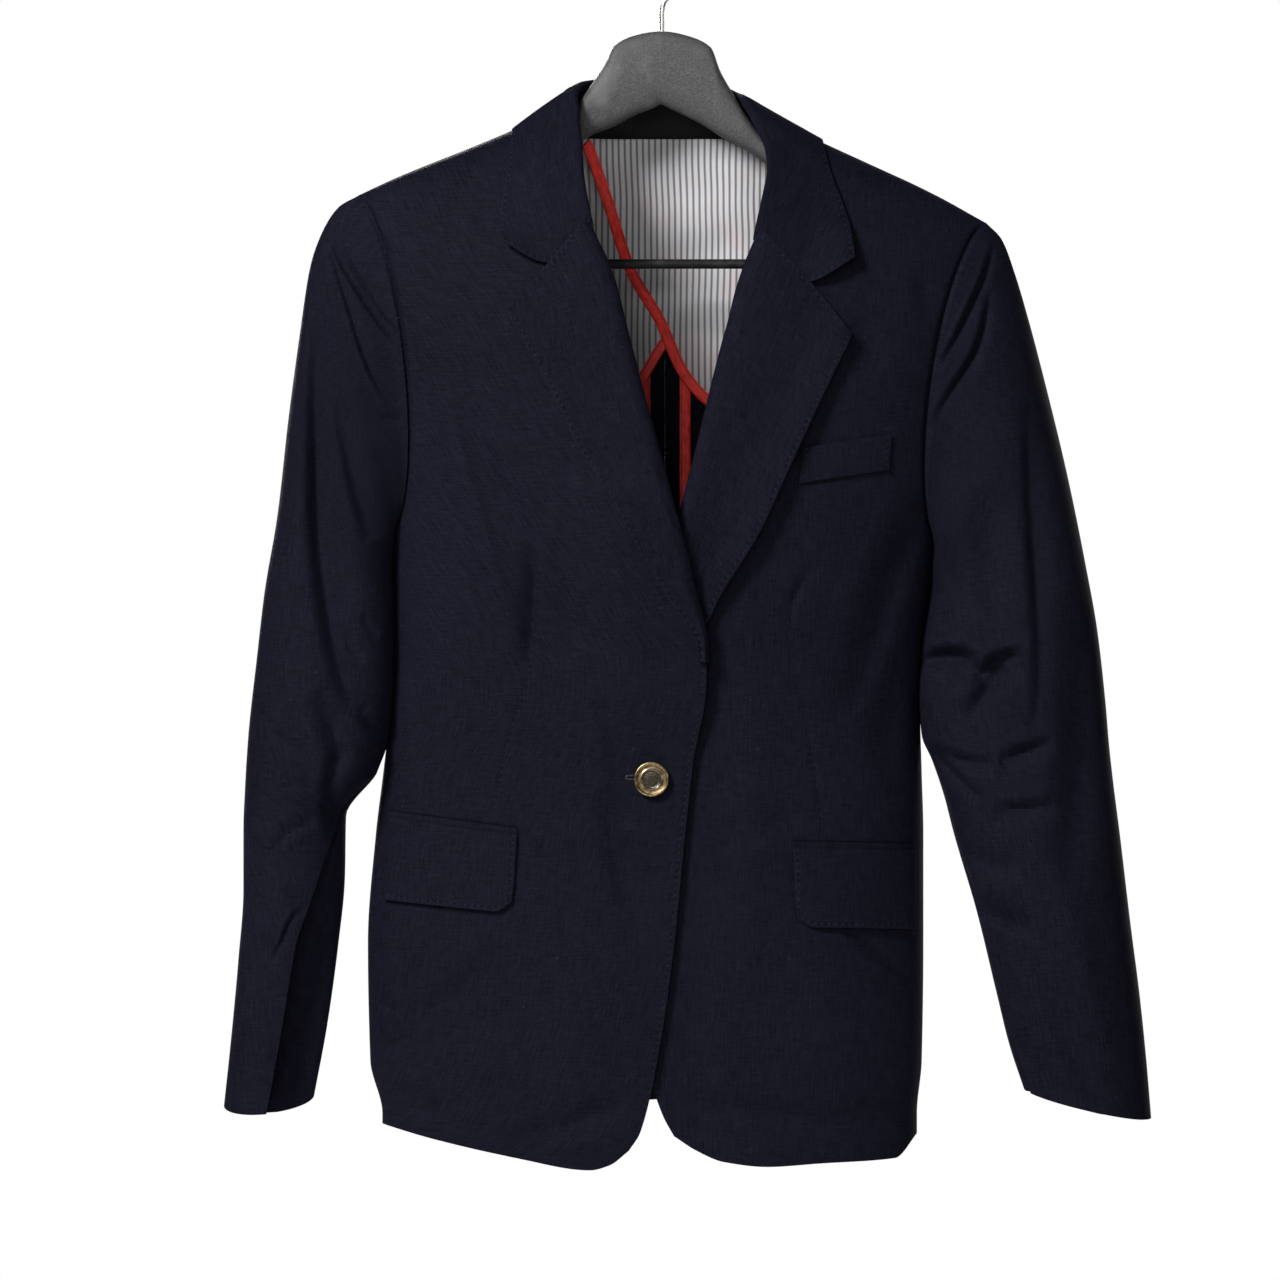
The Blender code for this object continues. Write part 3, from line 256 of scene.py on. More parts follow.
# Round a sleeve, as angles from its outer edge over its front: the seam behind, the upper sleeve's
# edge where nothing folds it, and where the under sleeve starts after that edge
BACK_SEAM_ANGLE, FOLD_ANGLE, UNDER_START = (math.radians(angle) for angle in (-112, 162, 9.4))
# The upper sleeve's turning: degrees past its edge where it lies flat; where it folds back, how far
# in from its edge it lies and its share of the way back to the under sleeve
SLEEVE_TURN = ((1.5, 0.2, 0.12), (3.2, 0.9, 0.3), (6.0, 2.0, 0.6), (9.3, 3.2, 1.0))
UNDER_TUCK = 6.5

# Along a sleeve, as shares of its length: where the armhole's bow has faded, where the section is the
# sleeve's own, where creases have their full height and where the seam's tuck ends
BOW_END, JOIN_END, CREASE_START, TUCK_END = 0.34, 0.22, 0.015, 0.008
# Creases fade out towards the sleeve's edges, where its section's sine is below this
SEAM_CALM = 0.45
# The underarm edge presses on the body's side: its start and fade in, its end and fade out, how hard
# it presses and the gap that it keeps
PRESSED_PART = (0.1, 0.08, 0.62, 0.06)
SIDE_PRESS, SIDE_GAP = 1.6, 0.25

# Creases and folds, seen from the front: points along the line (x, z), half widths to the right
# and to the left of its run, height (troughs are below zero), how tight its crest is from 0 to 1,
# and the height of the roll of cloth that it pushes up on its right (below zero: on its left)
RIGHT_FRONT_CREASES = (
    (((-143, -278), (-128, -306), (-118, -340), (-107, -376), (-96, -411), (-83, -452)), 17, 5, 3.0, 0.3, 0),
    (((-124, -288), (-110, -320), (-95, -350), (-83, -372), (-74, -388)), 9, 6, -3.4, 0.3, -0.8),
    (((-74, -388), (-66, -405), (-57, -424), (-49, -442)), 5, 8, -2.6, 0.3, -0.6),
    (((-80, -378), (-78, -397), (-78.5, -420), (-82, -454)), 6.5, 1.5, -6.0, 0.3, 0),
    (((-50, -438), (-46, -475), (-40, -502), (-34, -545)), 12, 7, 2.8, 0.1, 0),
    (((-37, -530), (-31, -550), (-25, -580), (-13, -622)), 6, 12, -2.8, 0.1, 0),
    (((-24, -560), (-10, -580), (6, -600)), 7, 7, -1.8, 0.1, -0.6),
    (((-56, -424), (-40, -433), (-24, -442)), 6, 6, -1.4, 0, 0.4),
    (((-13, -446), (9, -455)), 5, 5, -1.2, 0.3, 0.4),
    (((-119, -602), (-125, -615), (-134, -636)), 1.5, 1.5, -1.0, 0.6, 0),
    (((-104, -616), (-132, -640), (-170, -668)), 10, 9, 2.8, 0.1, 0),
    (((-145, -635), (-154, -647), (-164, -658)), 6, 2.4, -2.8, 0.4, 0),
    (((-175, -655), (-169, -665), (-160, -658)), 3, 3, -2.2, 0.4, 0.8),
    (((-179, -691), (-166, -688), (-152, -683)), 4, 5, -2.0, 0.2, 0.7),
    (((-97, -750), (-64, -738), (-36, -729), (-16, -719)), 8, 8, -2.8, 0.1, 0.9),
    (((-158, -712), (-148, -724), (-139, -734)), 7, 7, -2.0, 0, 0.5),
    (((-158, -240), (-145, -300), (-140, -360)), 9, 9, -1.8, 0, 0),
    (((-170, -420), (-150, -470), (-146, -520)), 9, 9, -1.8, 0, 0.5),
    (((-150, -178), (-130, -212), (-116, -252)), 15, 15, -1.8, 0, 0),
    (((-60, -640), (-52, -690), (-56, -735)), 14, 14, 1.8, 0, 0),
    (((-120, -680), (-116, -720), (-122, -752)), 12, 12, 1.6, 0, 0),
)
LEFT_FRONT_CREASES = (
    (((167, -346), (152, -380), (140, -410), (128, -450), (117, -482)), 12, 9, -3.8, 0.1, 1.0),
    (((118, -240), (136, -270)), 11, 11, -2.8, 0, 0),
    (((100, -560), (104, -660), (112, -760)), 24, 24, 2.2, 0, 0),
    (((12, -720), (60, -729), (110, -734), (158, -738)), 8, 8, -2.8, 0.1, -0.9),
    (((16, -736), (40, -742), (56, -753)), 6, 6, -2.0, 0.1, 0.6),
    (((112, -615), (130, -628), (145, -640), (159, -651)), 2.4, 3.4, -3.4, 0.4, 1.2),
    (((162, -205), (165, -236)), 6, 6, -1.6, 0, 0.4),
    (((140, -529), (162, -533)), 4, 4, -1.6, 0.3, 0.5),
    (((60, -470), (58, -540), (64, -610)), 15, 15, 1.6, 0, 0),
    (((40, -640), (36, -700), (44, -750)), 13, 13, 1.6, 0, 0),
    (((150, -440), (140, -490), (144, -525)), 9, 9, -1.8, 0, 0.5),
    (((92, -392), (86, -403), (80, -418)), 4, 4, -1.8, 0.2, 0.5),
    (((30, -560), (62, -552), (88, -544)), 8, 8, -1.6, 0, 0.6),
)
BACK_CREASES = (
    (((-150, -250), (-120, -310), (-96, -380)), 14, 14, -2.6, 0, 1.0),
    (((148, -262), (124, -330), (104, -400)), 14, 14, -2.8, 0, 1.0),
    (((-60, -160), (0, -176), (62, -163)), 12, 12, -2.0, 0, 0.8),
    (((-40, -420), (-46, -520), (-60, -620)), 18, 18, 2.4, 0, 0),
    (((52, -450), (60, -560), (56, -680)), 18, 18, 2.4, 0, 0),
    (((-158, -440), (-120, -462), (-80, -470)), 9, 12, -2.6, 0.1, 1.0),
    (((152, -452), (112, -470), (78, -474)), 12, 9, -2.4, 0.1, 1.0),
    (((-166, -490), (-136, -500), (-110, -498)), 6, 9, -2.0, 0.2, 0.8),
    (((-120, -560), (-126, -640), (-118, -715)), 15, 15, -2.4, 0, 0.8),
    (((120, -590), (112, -650), (118, -712)), 15, 15, -2.2, 0, 0.8),
)
RIGHT_SLEEVE_CREASES = (
    (((-211, -214), (-214, -258), (-213.5, -320), (-212, -374), (-206, -421), (-200, -452), (-190, -484)),
     5.5, 17, -14.0, 0.3, 0),
    (((-226, -250), (-229, -330), (-232, -430)), 10, 8, 2.6, 0, 0),
    (((-205, -186), (-199, -202), (-190, -217), (-180, -232), (-170, -245), (-161, -252)),
     1.4, 1.7, -5.5, 0.7, 0),
    (((-201, -181), (-195, -199), (-185, -215), (-178, -228), (-169, -240), (-159, -249)),
     3.2, 1.4, -5.0, 0.6, 0),
    (((-211, -187), (-203, -200), (-198, -216), (-192, -234), (-187, -251), (-180, -269), (-172, -283),
      (-162, -292)), 1.8, 5, -3.6, 0.6, 1.2),
    (((-173, -298), (-166, -300), (-160, -299)), 2.5, 2.5, -1.8, 0.3, 0.5),
    (((-201, -286), (-193, -325), (-187, -350), (-180, -374)), 4, 9, -7.0, 0.1, 1.4),
    (((-196, -431), (-191, -442), (-184, -449)), 3, 3, -2.6, 0.3, 0.8),
    (((-186, -420), (-181, -428), (-175, -433)), 3, 3, -2.6, 0.3, 0.8),
    (((-212, -466), (-203, -490), (-199, -516)), 7, 6, -5.4, 0.2, 1.4),
    (((-188, -478), (-178, -492), (-166, -500)), 4, 4, -5.4, 0.4, 1.8),
    (((-246, -494), (-232, -500), (-216, -511)), 4, 5, -2.6, 0.2, 1.2),
    (((-238, -530), (-224, -526), (-212, -536)), 3.5, 4, -2.4, 0.2, 1.0),
    (((-244, -572), (-230, -556), (-213, -548)), 2.4, 4, -2.6, 0.4, 1.0),
    (((-236, -590), (-226, -600), (-218, -612)), 3, 4, -2.6, 0.3, 1.0),
    (((-219, -601), (-228, -608), (-234, -622), (-241, -635)), 1.8, 2.6, -2.8, 0.5, 1.0),
    (((-250, -600), (-244, -640), (-238, -690)), 9, 9, -2.6, 0, 1.2),
    (((-255, -490), (-256, -548), (-257, -600)), 5, 5, 2.6, 0, 0),
    (((-259, -632), (-262, -660), (-265, -690)), 5, 5, 2.6, 0, 0),
    (((-196, -500), (-204, -530), (-200, -560)), 5, 6, -4.6, 0.3, 1.5),
)
LEFT_SLEEVE_CREASES = (
    (((207, -190), (201, -210), (194, -226), (187, -241), (181, -253), (174, -265)),
     2.2, 3.4, -4.4, 0.6, 1.2),
    (((204, -220), (201, -240), (196, -256), (188, -270), (179, -284), (170, -300)),
     2.6, 3.4, -4.8, 0.6, 1.2),
    (((227, -290), (228, -337), (231, -390), (234, -440), (233, -476), (228, -494)), 3.8, 12, -5.6, 0.3, 0),
    (((257, -403), (260, -500), (253, -592)), 12, 12, -5.0, 0, 1.4),
    (((198, -461), (191, -448), (178, -445), (160, -450)), 4.2, 16, -14.0, 0.3, 1.4),
    (((224, -446), (212, -447), (203, -453), (197, -463)), 4.2, 12, -10.0, 0.3, 1.4),
    (((214, -452), (204, -466), (191, -486)), 7, 5, -7.5, 0.2, 1.0),
    (((206, -512), (186, -510), (168, -501)), 3, 6, -6.4, 0.4, 1.4),
    (((200, -536), (184, -520), (169, -504)), 2.4, 5, -6.4, 0.4, 1.2),
    (((243, -499), (226, -504), (209, -511)), 3.8, 7, -6.5, 0.3, 1.4),
    (((244, -537), (226, -540), (206, -541)), 3.6, 7, -5.6, 0.3, 1.2),
    (((188, -566), (204, -576), (226, -574)), 8, 8, -3.2, 0.1, 1.2),
    (((229, -616), (212, -610), (194, -601)), 8, 3.6, -8.0, 0.2, 0),
    (((233, -638), (250, -680), (273, -728)), 6, 8, -2.2, 0, 0.8),
    (((220, -690), (228, -706), (239, -720)), 4, 5, -2.8, 0.2, 1.0),
    (((205, -340), (204, -400), (212, -440)), 11, 12, -4.2, 0.1, 1.4),
    (((172, -372), (180, -392), (194, -424)), 5, 7, -2.4, 0.2, 0.8),
    (((240, -560), (262, -640), (278, -700)), 10, 10, 2.2, 0, 0),
)
# By distance from the middle, for both arms; the right arm has them higher by a shift
SLEEVE_BACK_CREASES = (
    (((188, -225), (206, -280), (214, -350)), 10, 10, -4.4, 0, 1.4),
    (((178, -300), (200, -345), (222, -380)), 8, 8, -3.8, 0.2, 1.4),
    (((182, -440), (208, -452), (236, -446)), 3, 9, -5.0, 0.2, 1.8),
    (((186, -478), (214, -486), (246, -474)), 8, 3, -4.4, 0.2, 1.6),
    (((196, -520), (224, -530), (262, -520)), 7, 7, -3.8, 0.2, 1.4),
    (((220, -590), (248, -600), (280, -590)), 8, 8, -3.2, 0.1, 1.2),
    (((250, -480), (262, -560), (270, -650)), 12, 12, 2.6, 0, 0),
)
FRONT_CREASES = {"right": RIGHT_FRONT_CREASES, "left": LEFT_FRONT_CREASES}
SLEEVE_CREASES = {"right": RIGHT_SLEEVE_CREASES, "left": LEFT_SLEEVE_CREASES}
SLEEVE_BACK_SHIFT = {"right": 14, "left": 0}

# Darts: a sewn line down each front, its half width and depth
DARTS = {
    "right": ((-76, -392), (-77, -422), (-81, -453), (-87, -476), (-93, -493), (-97, -510), (-104, -541)),
    "left": ((88, -401), (81, -414), (82, -452), (92, -496), (100, -556)),
}
DART_WIDTH, DART_DEPTH = 1.3, -0.7

# Lapels, by height on the roll line: where the outer edge lies
RIGHT_LAPEL = Table(
    "z edge_x edge_z",
    (-450, 29, -449), (-430, 20, -434), (-393, -13, -382), (-360, -33, -345), (-325, -53, -313),
    (-290, -63, -292), (-252, -77, -266), (-215, -90, -242), (-195, -94, -235),
    (-176.4, -94.5, -231.5),
)
LEFT_LAPEL = Table(
    "z edge_x edge_z",
    (-452, -21, -452), (-430, 24, -432), (-395, 37, -408), (-360, 61, -369), (-325, 79, -330),
    (-290, 99, -287), (-256, 111, -262), (-225, 116, -252), (-183.5, 118, -247),
)
LAPELS = {"right": RIGHT_LAPEL, "left": LEFT_LAPEL}
# Heights over the front: where the leaf rests, what the roll adds to it, what the tip adds, and how
# far the leaf's edge stands off it, most at one height and falling off within a reach of it
LAPEL_REST = 2.9
LAPEL_ROLL = 3.0
LAPEL_TIP_LIFT = {"right": 1.4, "left": 3.4}
LAPEL_STAND = {"right": 0.0, "left": 6.0}
LAPEL_STAND_Z, LAPEL_STAND_REACH = -345.0, 60.0
# How the lapel's rows bend towards its edge; how far outside the roll line the front's edge lies, how
# far above the roll's foot that starts and over what height
GORGE_BEND = {"right": 1.0, "left": 1.15}
ROLL_INSET, ROLL_INSET_START, ROLL_INSET_FADE = 3.0, 6.0, 20.0
# The roll lies back from the edge of the front, and further back under the collar; below this width a
# lapel has a smaller roll; and the leaf keeps clear of what lies this near
ROLL_SETBACK = 2.4
UNDER_COLLAR, UNDER_COLLAR_FADE = 3.2, 45.0
LAPEL_NARROW = 24.0
LAPEL_REACH = 3.0
# Round the roll line, from the facing inside the front: distance across and height over the front
LAPEL_TURN = (
    (6.0, -4.6), (2.0, -4.6), (-1.0, -3.9), (-2.5, -2.2), (-3.0, 0.0), (-2.4, 2.2), (-1.0, 3.8), (1.0, 4.7),
)

# The collar: its fold line round the neck, and its outer edge (y is read from the body where None)
COLLAR_FOLD = (
    (-44, None, -177), (-49.5, None, -150), (-51.5, None, -126), (-53.5, -22, -106),
    (-54, -8, -93.3), (-50.8, 9, -89.3), (-40.5, 28, -87), (-22, 41, -84.5), (0, 45, -84),
    (22, 42, -85.5), (39, 31, -91), (48, 15, -95.5), (54, -4, -99), (60, -18, -110),
    (66.5, None, -124), (68.5, None, -141), (66, None, -155), (59.5, None, -184),
)
COLLAR_EDGE = (
    (-98, None, -189), (-100, None, -177), (-97.5, None, -160), (-95, None, -144),
    (-93.5, -12, -126), (-91.6, 3, -117.6), (-86, 24, -124), (-66, 42, -131), (-34, 52, -135),
    (0, 55, -136), (34, 52, -137), (68, 42, -135), (92, 22, -130), (99.5, 0, -124.5),
    (102, -14, -133), (106, None, -148), (112, None, -164), (117, None, -180), (120, None, -199),
)
COLLAR_ENDS = {
    "right": Table("share x z", (0, -44, -177), (0.3, -58, -191), (0.52, -70, -202.5), (1, -98, -189)),
    "left": Table("share x z", (0, 59.5, -184), (0.3, 77, -201), (0.54, 90, -214.5), (1, 120, -199)),
}
COLLAR_BULGE = 1.0
COLLAR_TIP_LIFT = 7.6
# Shares of the collar's length over which its ends take their own line and its tips lift
COLLAR_END_REACH, COLLAR_TIP_REACH = 0.12, 0.09
# Gaps to the body's cloth: of the fold line, of the outer edge's line, and the least of the leaf, at
# its edge and how much more at the fold
FOLD_GAP, EDGE_GAP = 4.2, 3.2
LEAF_GAP, MORE_AT_FOLD = 3.0, 1.2
# The collar's stand: how far under the fold it starts, and how far in it lies at its top and foot
STAND_DROP, STAND_IN = 3.4, (2.9, 2.2)
# From the fold line into the neck: distance in and drop
COLLAR_LIP = ((3.0, 5.0), (3.0, 3.0), (2.6, 1.2), (1.4, 0.1), (0.5, 0.0))
STAND_HEIGHT = Table("part height", (0.22, 9), (0.32, 11), (0.5, 19), (0.62, 9), (0.72, 7.5), (0.82, 8))

# Pockets and welt: corners on the front, upper inner, upper outer, lower outer, lower inner; how far a
# flap's lower inner corner is rounded up and over what share of its width; and how far a jet or the
# welt, and a flap, swell in their middles
FLAPS = {
    "right": ((-89, -556.5), (-169.5, -546), (-172, -597), (-92, -605.2)),
    "left": ((82, -564.5), (158, -566.5), (158, -615), (84, -613.7)),
}
JETS = {
    "right": ((-88.5, -551.5), (-168.5, -541.0), (-168.5, -551.4), (-88.5, -561.9)),
    "left": ((81.5, -559.5), (155.5, -561.3), (155.5, -571.7), (81.5, -570)),
}
CHEST_WELT = ((88, -317), (143, -309), (141.5, -331), (85, -339.5))
FLAP_CORNER, FLAP_CORNER_SHARE = 8.0, 0.16
PUFF = (0.3, 0.9)

# Inside: the facing at the neck, the half lining's slanting edges, the middle seam's allowances
NECK_FACING_SPAN = (-103.0, -127.5)
NECK_FACING_HALVES = (43, 49)
NECK_FACING_DEPTH = 3.3
LINING_EDGES = {
    "left": Table("x z", *as_seen(40.0, (-47.5, -130), (-35, -165), (-21, -207), (-3, -238), (12, -271),
                                  (29, -290), (80, -318), (150, -338))),
    "right": Table("x z", *as_seen(40.0, (-150, -345), (-80, -325), (-40, -303), (-12, -278), (1, -257),
                                   (24, -226), (44, -200))),
}
LINING_TOP_Z = -124.3
LINING_SPAN = {"right": (-136.0, 43.0), "left": (-48.5, 136.0)}
TRIM_SPAN = {"right": (-134.0, 12.0), "left": (-48.0, 134.0)}
LINING_REACH = 3.5
# How far under the shoulder seam a lining starts: beside the neck and outside, and where that changes
LINING_DROP = (24, 40)
LINING_DROP_X, LINING_DROP_FADE = 60.0, 30.0
LINING_DEPTH = {"right": 4.8, "left": 8.2}
ALLOWANCE_WIDTH = 9.0
ALLOWANCE_NEAR = {"right": 0.0, "left": 0.4}
ALLOWANCE_SPAN = (-246.0, -700.0)
# Across a binding, wrapped round an edge: distance in from the edge and height over the cloth
BINDING_WIDTH = 5.6
WRAP = (
    (BINDING_WIDTH, -0.7), (3.0, -0.7), (0.6, -0.7), (-0.3, -0.5), (-0.8, 0.3),
    (-0.5, 0.95), (0.6, 1.2), (2.0, 1.35), (4.0, 1.3), (BINDING_WIDTH, 1.1),
)

# The hanger, by x: upper and lower edge and half thickness
HANGER = Table(
    "x top low half",
    (-183, -181, -196, 3), (-180, -173, -205, 6), (-172, -165, -208, 8), (-165, -161, -207, 8.5),
    (-156, -157.5, -186, 9), (-120, -143, -168, 10), (-85, -130, -149, 10.5),
    (-58, -113, -131, 10.5), (-50, -101, -127, 10.5), (-41, -88, -121.5, 10), (-34, -77, -119, 10),
    (-29, -67, -117, 9.5), (-18, -61, -111, 9.5), (-4, -58.2, -105.3, 9.5), (0, -58, -103.4, 9.5),
    (4, -58.2, -105.4, 9.5), (19, -61.5, -112.4, 9.5), (31, -68, -119.4, 9.5),
    (37, -83, -123.5, 10), (45, -97, -128, 10), (53, -110, -132, 10.5), (64, -124, -139.5, 10.5),
    (90, -136, -154, 10.5), (145, -159, -182, 10), (166, -168, -190, 9), (176, -173, -207, 8.5),
    (183, -177, -208, 8), (191, -184, -205, 6), (194, -190, -200, 3),
)
# Two shallow grooves beside its neck, as creases, and the line that its mould left
HANGER_GROOVES = (
    (((-51, -114), (-36, -107), (-21, -99)), 1.0, 1.0, 0.6, 0, 0),
    (((-50, -117), (-35, -110), (-21, -102.5)), 1.0, 1.0, 0.5, 0, 0),
)
HANGER_MOULD_LINE_X = 0.6
# The hook's stem, from inside the hanger up to the bend
HOOK_STEM = ((0.6, HOOK_FOOT_Z - 2), (0.6, -52), (0.6, -46), (2.2, -39.5), (7.5, -34.5), (14.5, -29.5))

# The button, from its back round the rim to the middle of its face: radius and distance out; then
# its sides, how far its back lies off the front, and the radius inside which its disc lies
BUTTON_PROFILE = (
    (2.0, 0.0), (8.6, 0.0), (10.2, 0.35), (10.9, 1.1), (11.0, 1.9), (10.8, 2.7), (10.3, 3.15),
    (9.8, 3.2), (9.4, 3.0), (9.15, 2.55), (8.9, 2.45), (7.2, 2.4), (6.9, 2.45), (6.65, 2.7),
    (6.35, 2.75), (6.1, 2.5), (5.9, 2.3), (4.5, 2.42), (2.5, 2.52), (0.9, 2.55),
)
BUTTON_SIDES = 72
BUTTON_OUT = 1.6
DISC_RADIUS = 6.2


# ---- Slots and studio ----

# A slot name listed for each finish of the cut pieces
CLOTH_SLOTS = {
    "navy": "navy_cloth",
    "shaded_seam": "navy_cloth",
    "striped": "striped_lining",
    "red": "red_binding",
    "black": "black_facing",
}

# Soft lights, all aimed at one point: where each stands and its width, in metres, and its power
LIGHTS = (
    ("key", (-1.6, -2.1, 1.35), 0.8, 172),
    ("front", (-0.4, -2.6, 0.3), 0.9, 21),
    ("fill", (2.3, -1.8, 0.1), 0.9, 10),
    ("back", (-0.5, 2.7, 0.4), 1.0, 95),
    ("back_fill", (1.3, 2.3, 0.0), 1.4, 16),
)
LIGHTS_AIM = (0.0, 0.0, -0.42)
# The room's own light, and the floor's height and half width, in metres
ROOM_LIGHT = 0.055
FLOOR_Z = -1.75
FLOOR_HALF = 4.0


# ---- Shader maths ----


class Value:
    """A node's output, so that shader maths reads as Python."""

    def __init__(self, tree, socket):
        self.tree, self.socket = tree, socket

    def math(self, operation, *others):
        node = self.tree.nodes.new("ShaderNodeMath")
        node.operation = operation
        for place, item in enumerate((self, *others)):
            if isinstance(item, Value):
                self.tree.links.new(item.socket, node.inputs[place])
            else:
                node.inputs[place].default_value = item
        return Value(self.tree, node.outputs[0])

    def __add__(self, other):
        return self.math("ADD", other)

    def __sub__(self, other):
        return self.math("SUBTRACT", other)

    def __rsub__(self, other):
        return self.math("MULTIPLY", -1.0).math("ADD", other)

    def __mul__(self, other):
        return self.math("MULTIPLY", other)

    __radd__ = __add__
    __rmul__ = __mul__

    def wave(self, pitch):
        """A sine wave of that pitch, from -1 to 1."""
        return (self * (math.tau / pitch)).math("SINE")

    def bell(self, middle, width):
        """1 at middle, falling to nothing a few widths away."""
        away = (self - middle) * (1 / width)
        return (away * away * -1.0).math("EXPONENT")

    def above(self, level, softness):
        """0 below a level and 1 above it, with a soft step."""
        return ((self - level) * (0.5 / softness) + 0.5).math("MAXIMUM", 0.0).math("MINIMUM", 1.0)


class Finish:
    """One material: a Principled shader and the nodes that feed it."""

    def __init__(self, name, **constants):
        self.material = bpy.data.materials.new(name)
        self.material.use_nodes = True
        self.tree = self.material.node_tree
        self.shader = self.tree.nodes["Principled BSDF"]
        for socket, value in constants.items():
            self.shader.inputs[socket.replace("_", " ")].default_value = value

    def node(self, kind, settings=None, inputs=None, output=0):
        """Any node: its settings first, then the values or links of its sockets."""
        made = self.tree.nodes.new(kind)
        for key, value in (settings or {}).items():
            setattr(made, key, value)
        for key, value in (inputs or {}).items():
            if isinstance(value, Value):
                self.tree.links.new(value.socket, made.inputs[key])
            else:
                made.inputs[key].default_value = value
        return Value(self.tree, made.outputs[output])

    def along(self, layer):
        """The two coordinates of a UV layer, in metres over the cloth."""
        place = self.node("ShaderNodeUVMap", {"uv_map": layer})
        parts = self.node("ShaderNodeSeparateXYZ", None, {0: place})
        return parts, Value(self.tree, parts.socket.node.outputs[1])

    def place(self):
        """Where a point lies on the object, in metres."""
        return self.node("ShaderNodeTexCoord", None, None, "Object")

    def noise(self, vector, scale, detail=2.0, roughness=0.5):
        inputs = {"Vector": vector, "Scale": scale, "Detail": detail, "Roughness": roughness}
        return self.node("ShaderNodeTexNoise", None, inputs)

    def streaks(self, x, y, detail, roughness=0.5):
        """Noise over two coordinates that are already scaled, each as its streaks need."""
        vector = self.node("ShaderNodeCombineXYZ", None, {0: x, 1: y, 2: 0.0})
        return self.noise(vector, 1.0, detail, roughness)

    def mix(self, share, low, high):
        """A colour between two colours."""
        low, high = (c if isinstance(c, Value) else (*c, 1.0) for c in (low, high))
        return self.node("ShaderNodeMix", {"data_type": "RGBA"}, {0: share, 6: low, 7: high}, 2)

    def finished(self, colour, roughness, height):
        """The material, once its shader has its colour, its roughness and a height in millimetres."""
        bump = self.node("ShaderNodeBump", None, {"Height": height, "Distance": MM})
        for socket, value in (("Base Color", colour), ("Roughness", roughness), ("Normal", bump)):
            self.tree.links.new(value.socket, self.shader.inputs[socket])
        return self.material


def navy_cloth(name, stitched, shaded_seam):
    """Very dark navy wool: a fine twill with slubs; its edges are hand-stitched, or sunk into a seam.
    The colour is lightened along every edge and along the stitches' thread as painted highlights, and
    darkened in the dimples between stitches and along a seam as painted shade.
    """
    cloth = Finish(
        name,
        Specular_IOR_Level=0.025,
        Sheen_Weight=0.008,
        Sheen_Roughness=0.4,
        Sheen_Tint=(0.5, 0.5, 0.8, 1),
    )
    across, along = cloth.along("Weave")
    stitch_along, inset = cloth.along("Edges")
    yarns = across.wave(0.00052) * 0.5 + along.wave(0.0006) * 0.5
    twill = (across + along).wave(0.0011)
    warp_slubs = cloth.streaks(across * 760.0, along * 70.0, 4.0, 0.7)
    weft_slubs = cloth.streaks(across * 90.0, along * 820.0, 4.0, 0.7)
    broad = cloth.noise(cloth.place(), 9.0, 3.0)
    specks = cloth.streaks(across * 420.0, along * 420.0, 1.0).above(0.79, 0.012)
    dashes = stitch_along.wave(STITCH_PITCH).above(0.45, 0.35)
    # The thread's dashes: the thread's own colour, lighter along their middle as a painted highlight
    thread = inset.bell(STITCH_INSET, 0.0005) * dashes * stitched
    # Between the dashes the cloth dips in; that dip is darkened as painted shade
    dimple_and_shade = inset.bell(STITCH_INSET, 0.0008) * (1.0 - dashes) * stitched
    # Along a seamed edge the cloth turns in; its colour there is darkened nearly to black as painted shade
    seam_groove_and_shade = inset.bell(0.0, 0.0012) * shaded_seam
    # Every edge: its lower roughness is the pressed cloth's own shine; its lighter colour is a painted
    # highlight
    pressed = inset.bell(0.0, 0.0011)
    light = 0.45 + yarns * 0.1 + twill * 0.12 + (warp_slubs - 0.5) * 1.7 + (weft_slubs - 0.5) * 1.4
    # The tone, lighter at every edge as a painted highlight and darker in the stitch dimples as painted shade
    light = light + (broad - 0.5) * 0.5 + pressed * 0.22 - dimple_and_shade * 0.16
    colour = cloth.mix(light.above(0.5, 0.5), (0.0022, 0.0022, 0.0050), (0.0082, 0.0082, 0.0156))
    colour = cloth.mix(specks * 0.12, colour, (0.12, 0.11, 0.12))
    # The stitches' thread, lightened as a painted highlight
    colour = cloth.mix(thread * 0.4, colour, (0.018, 0.018, 0.030))
    # Painted shade along the seamed edges
    colour = cloth.mix(seam_groove_and_shade, colour, (0.0003, 0.0003, 0.0010))
    rough = 0.66 + (broad - 0.5) * 0.2 - pressed * 0.08 + dimple_and_shade * 0.1
    weave = yarns * 0.04 + twill * 0.05 + (warp_slubs + weft_slubs) * 0.16
    return cloth.finished(colour, rough, weave + thread * 0.1 - dimple_and_shade * 0.16 - seam_groove_and_shade * 0.6)


def striped_lining():
    """Smooth lining in narrow grey and off-white stripes."""
    lining = Finish("striped_lining", Specular_IOR_Level=0.35, Sheen_Weight=0.1, Sheen_Roughness=0.3)
    across, along = lining.along("Weave")
    tint = lining.noise(lining.place(), 26.0, 2.0)
    drift = lining.noise(lining.place(), 17.0, 1.0) - 0.5
    grey = (across + drift * 0.004).wave(0.0038).above(0.42, 0.42)
    threads = across.wave(0.00035) * along.wave(0.0004)
    white = lining.mix(tint.above(0.56, 0.05), (0.41, 0.405, 0.415), (0.42, 0.37, 0.375))
    colour = lining.mix(grey, white, (0.115, 0.106, 0.115))
    wrinkles = lining.streaks(across * 30.0, along * 8.0, 3.0)
    return lining.finished(colour, 0.5 + tint * 0.15, threads * 0.02 + wrinkles * 0.9)


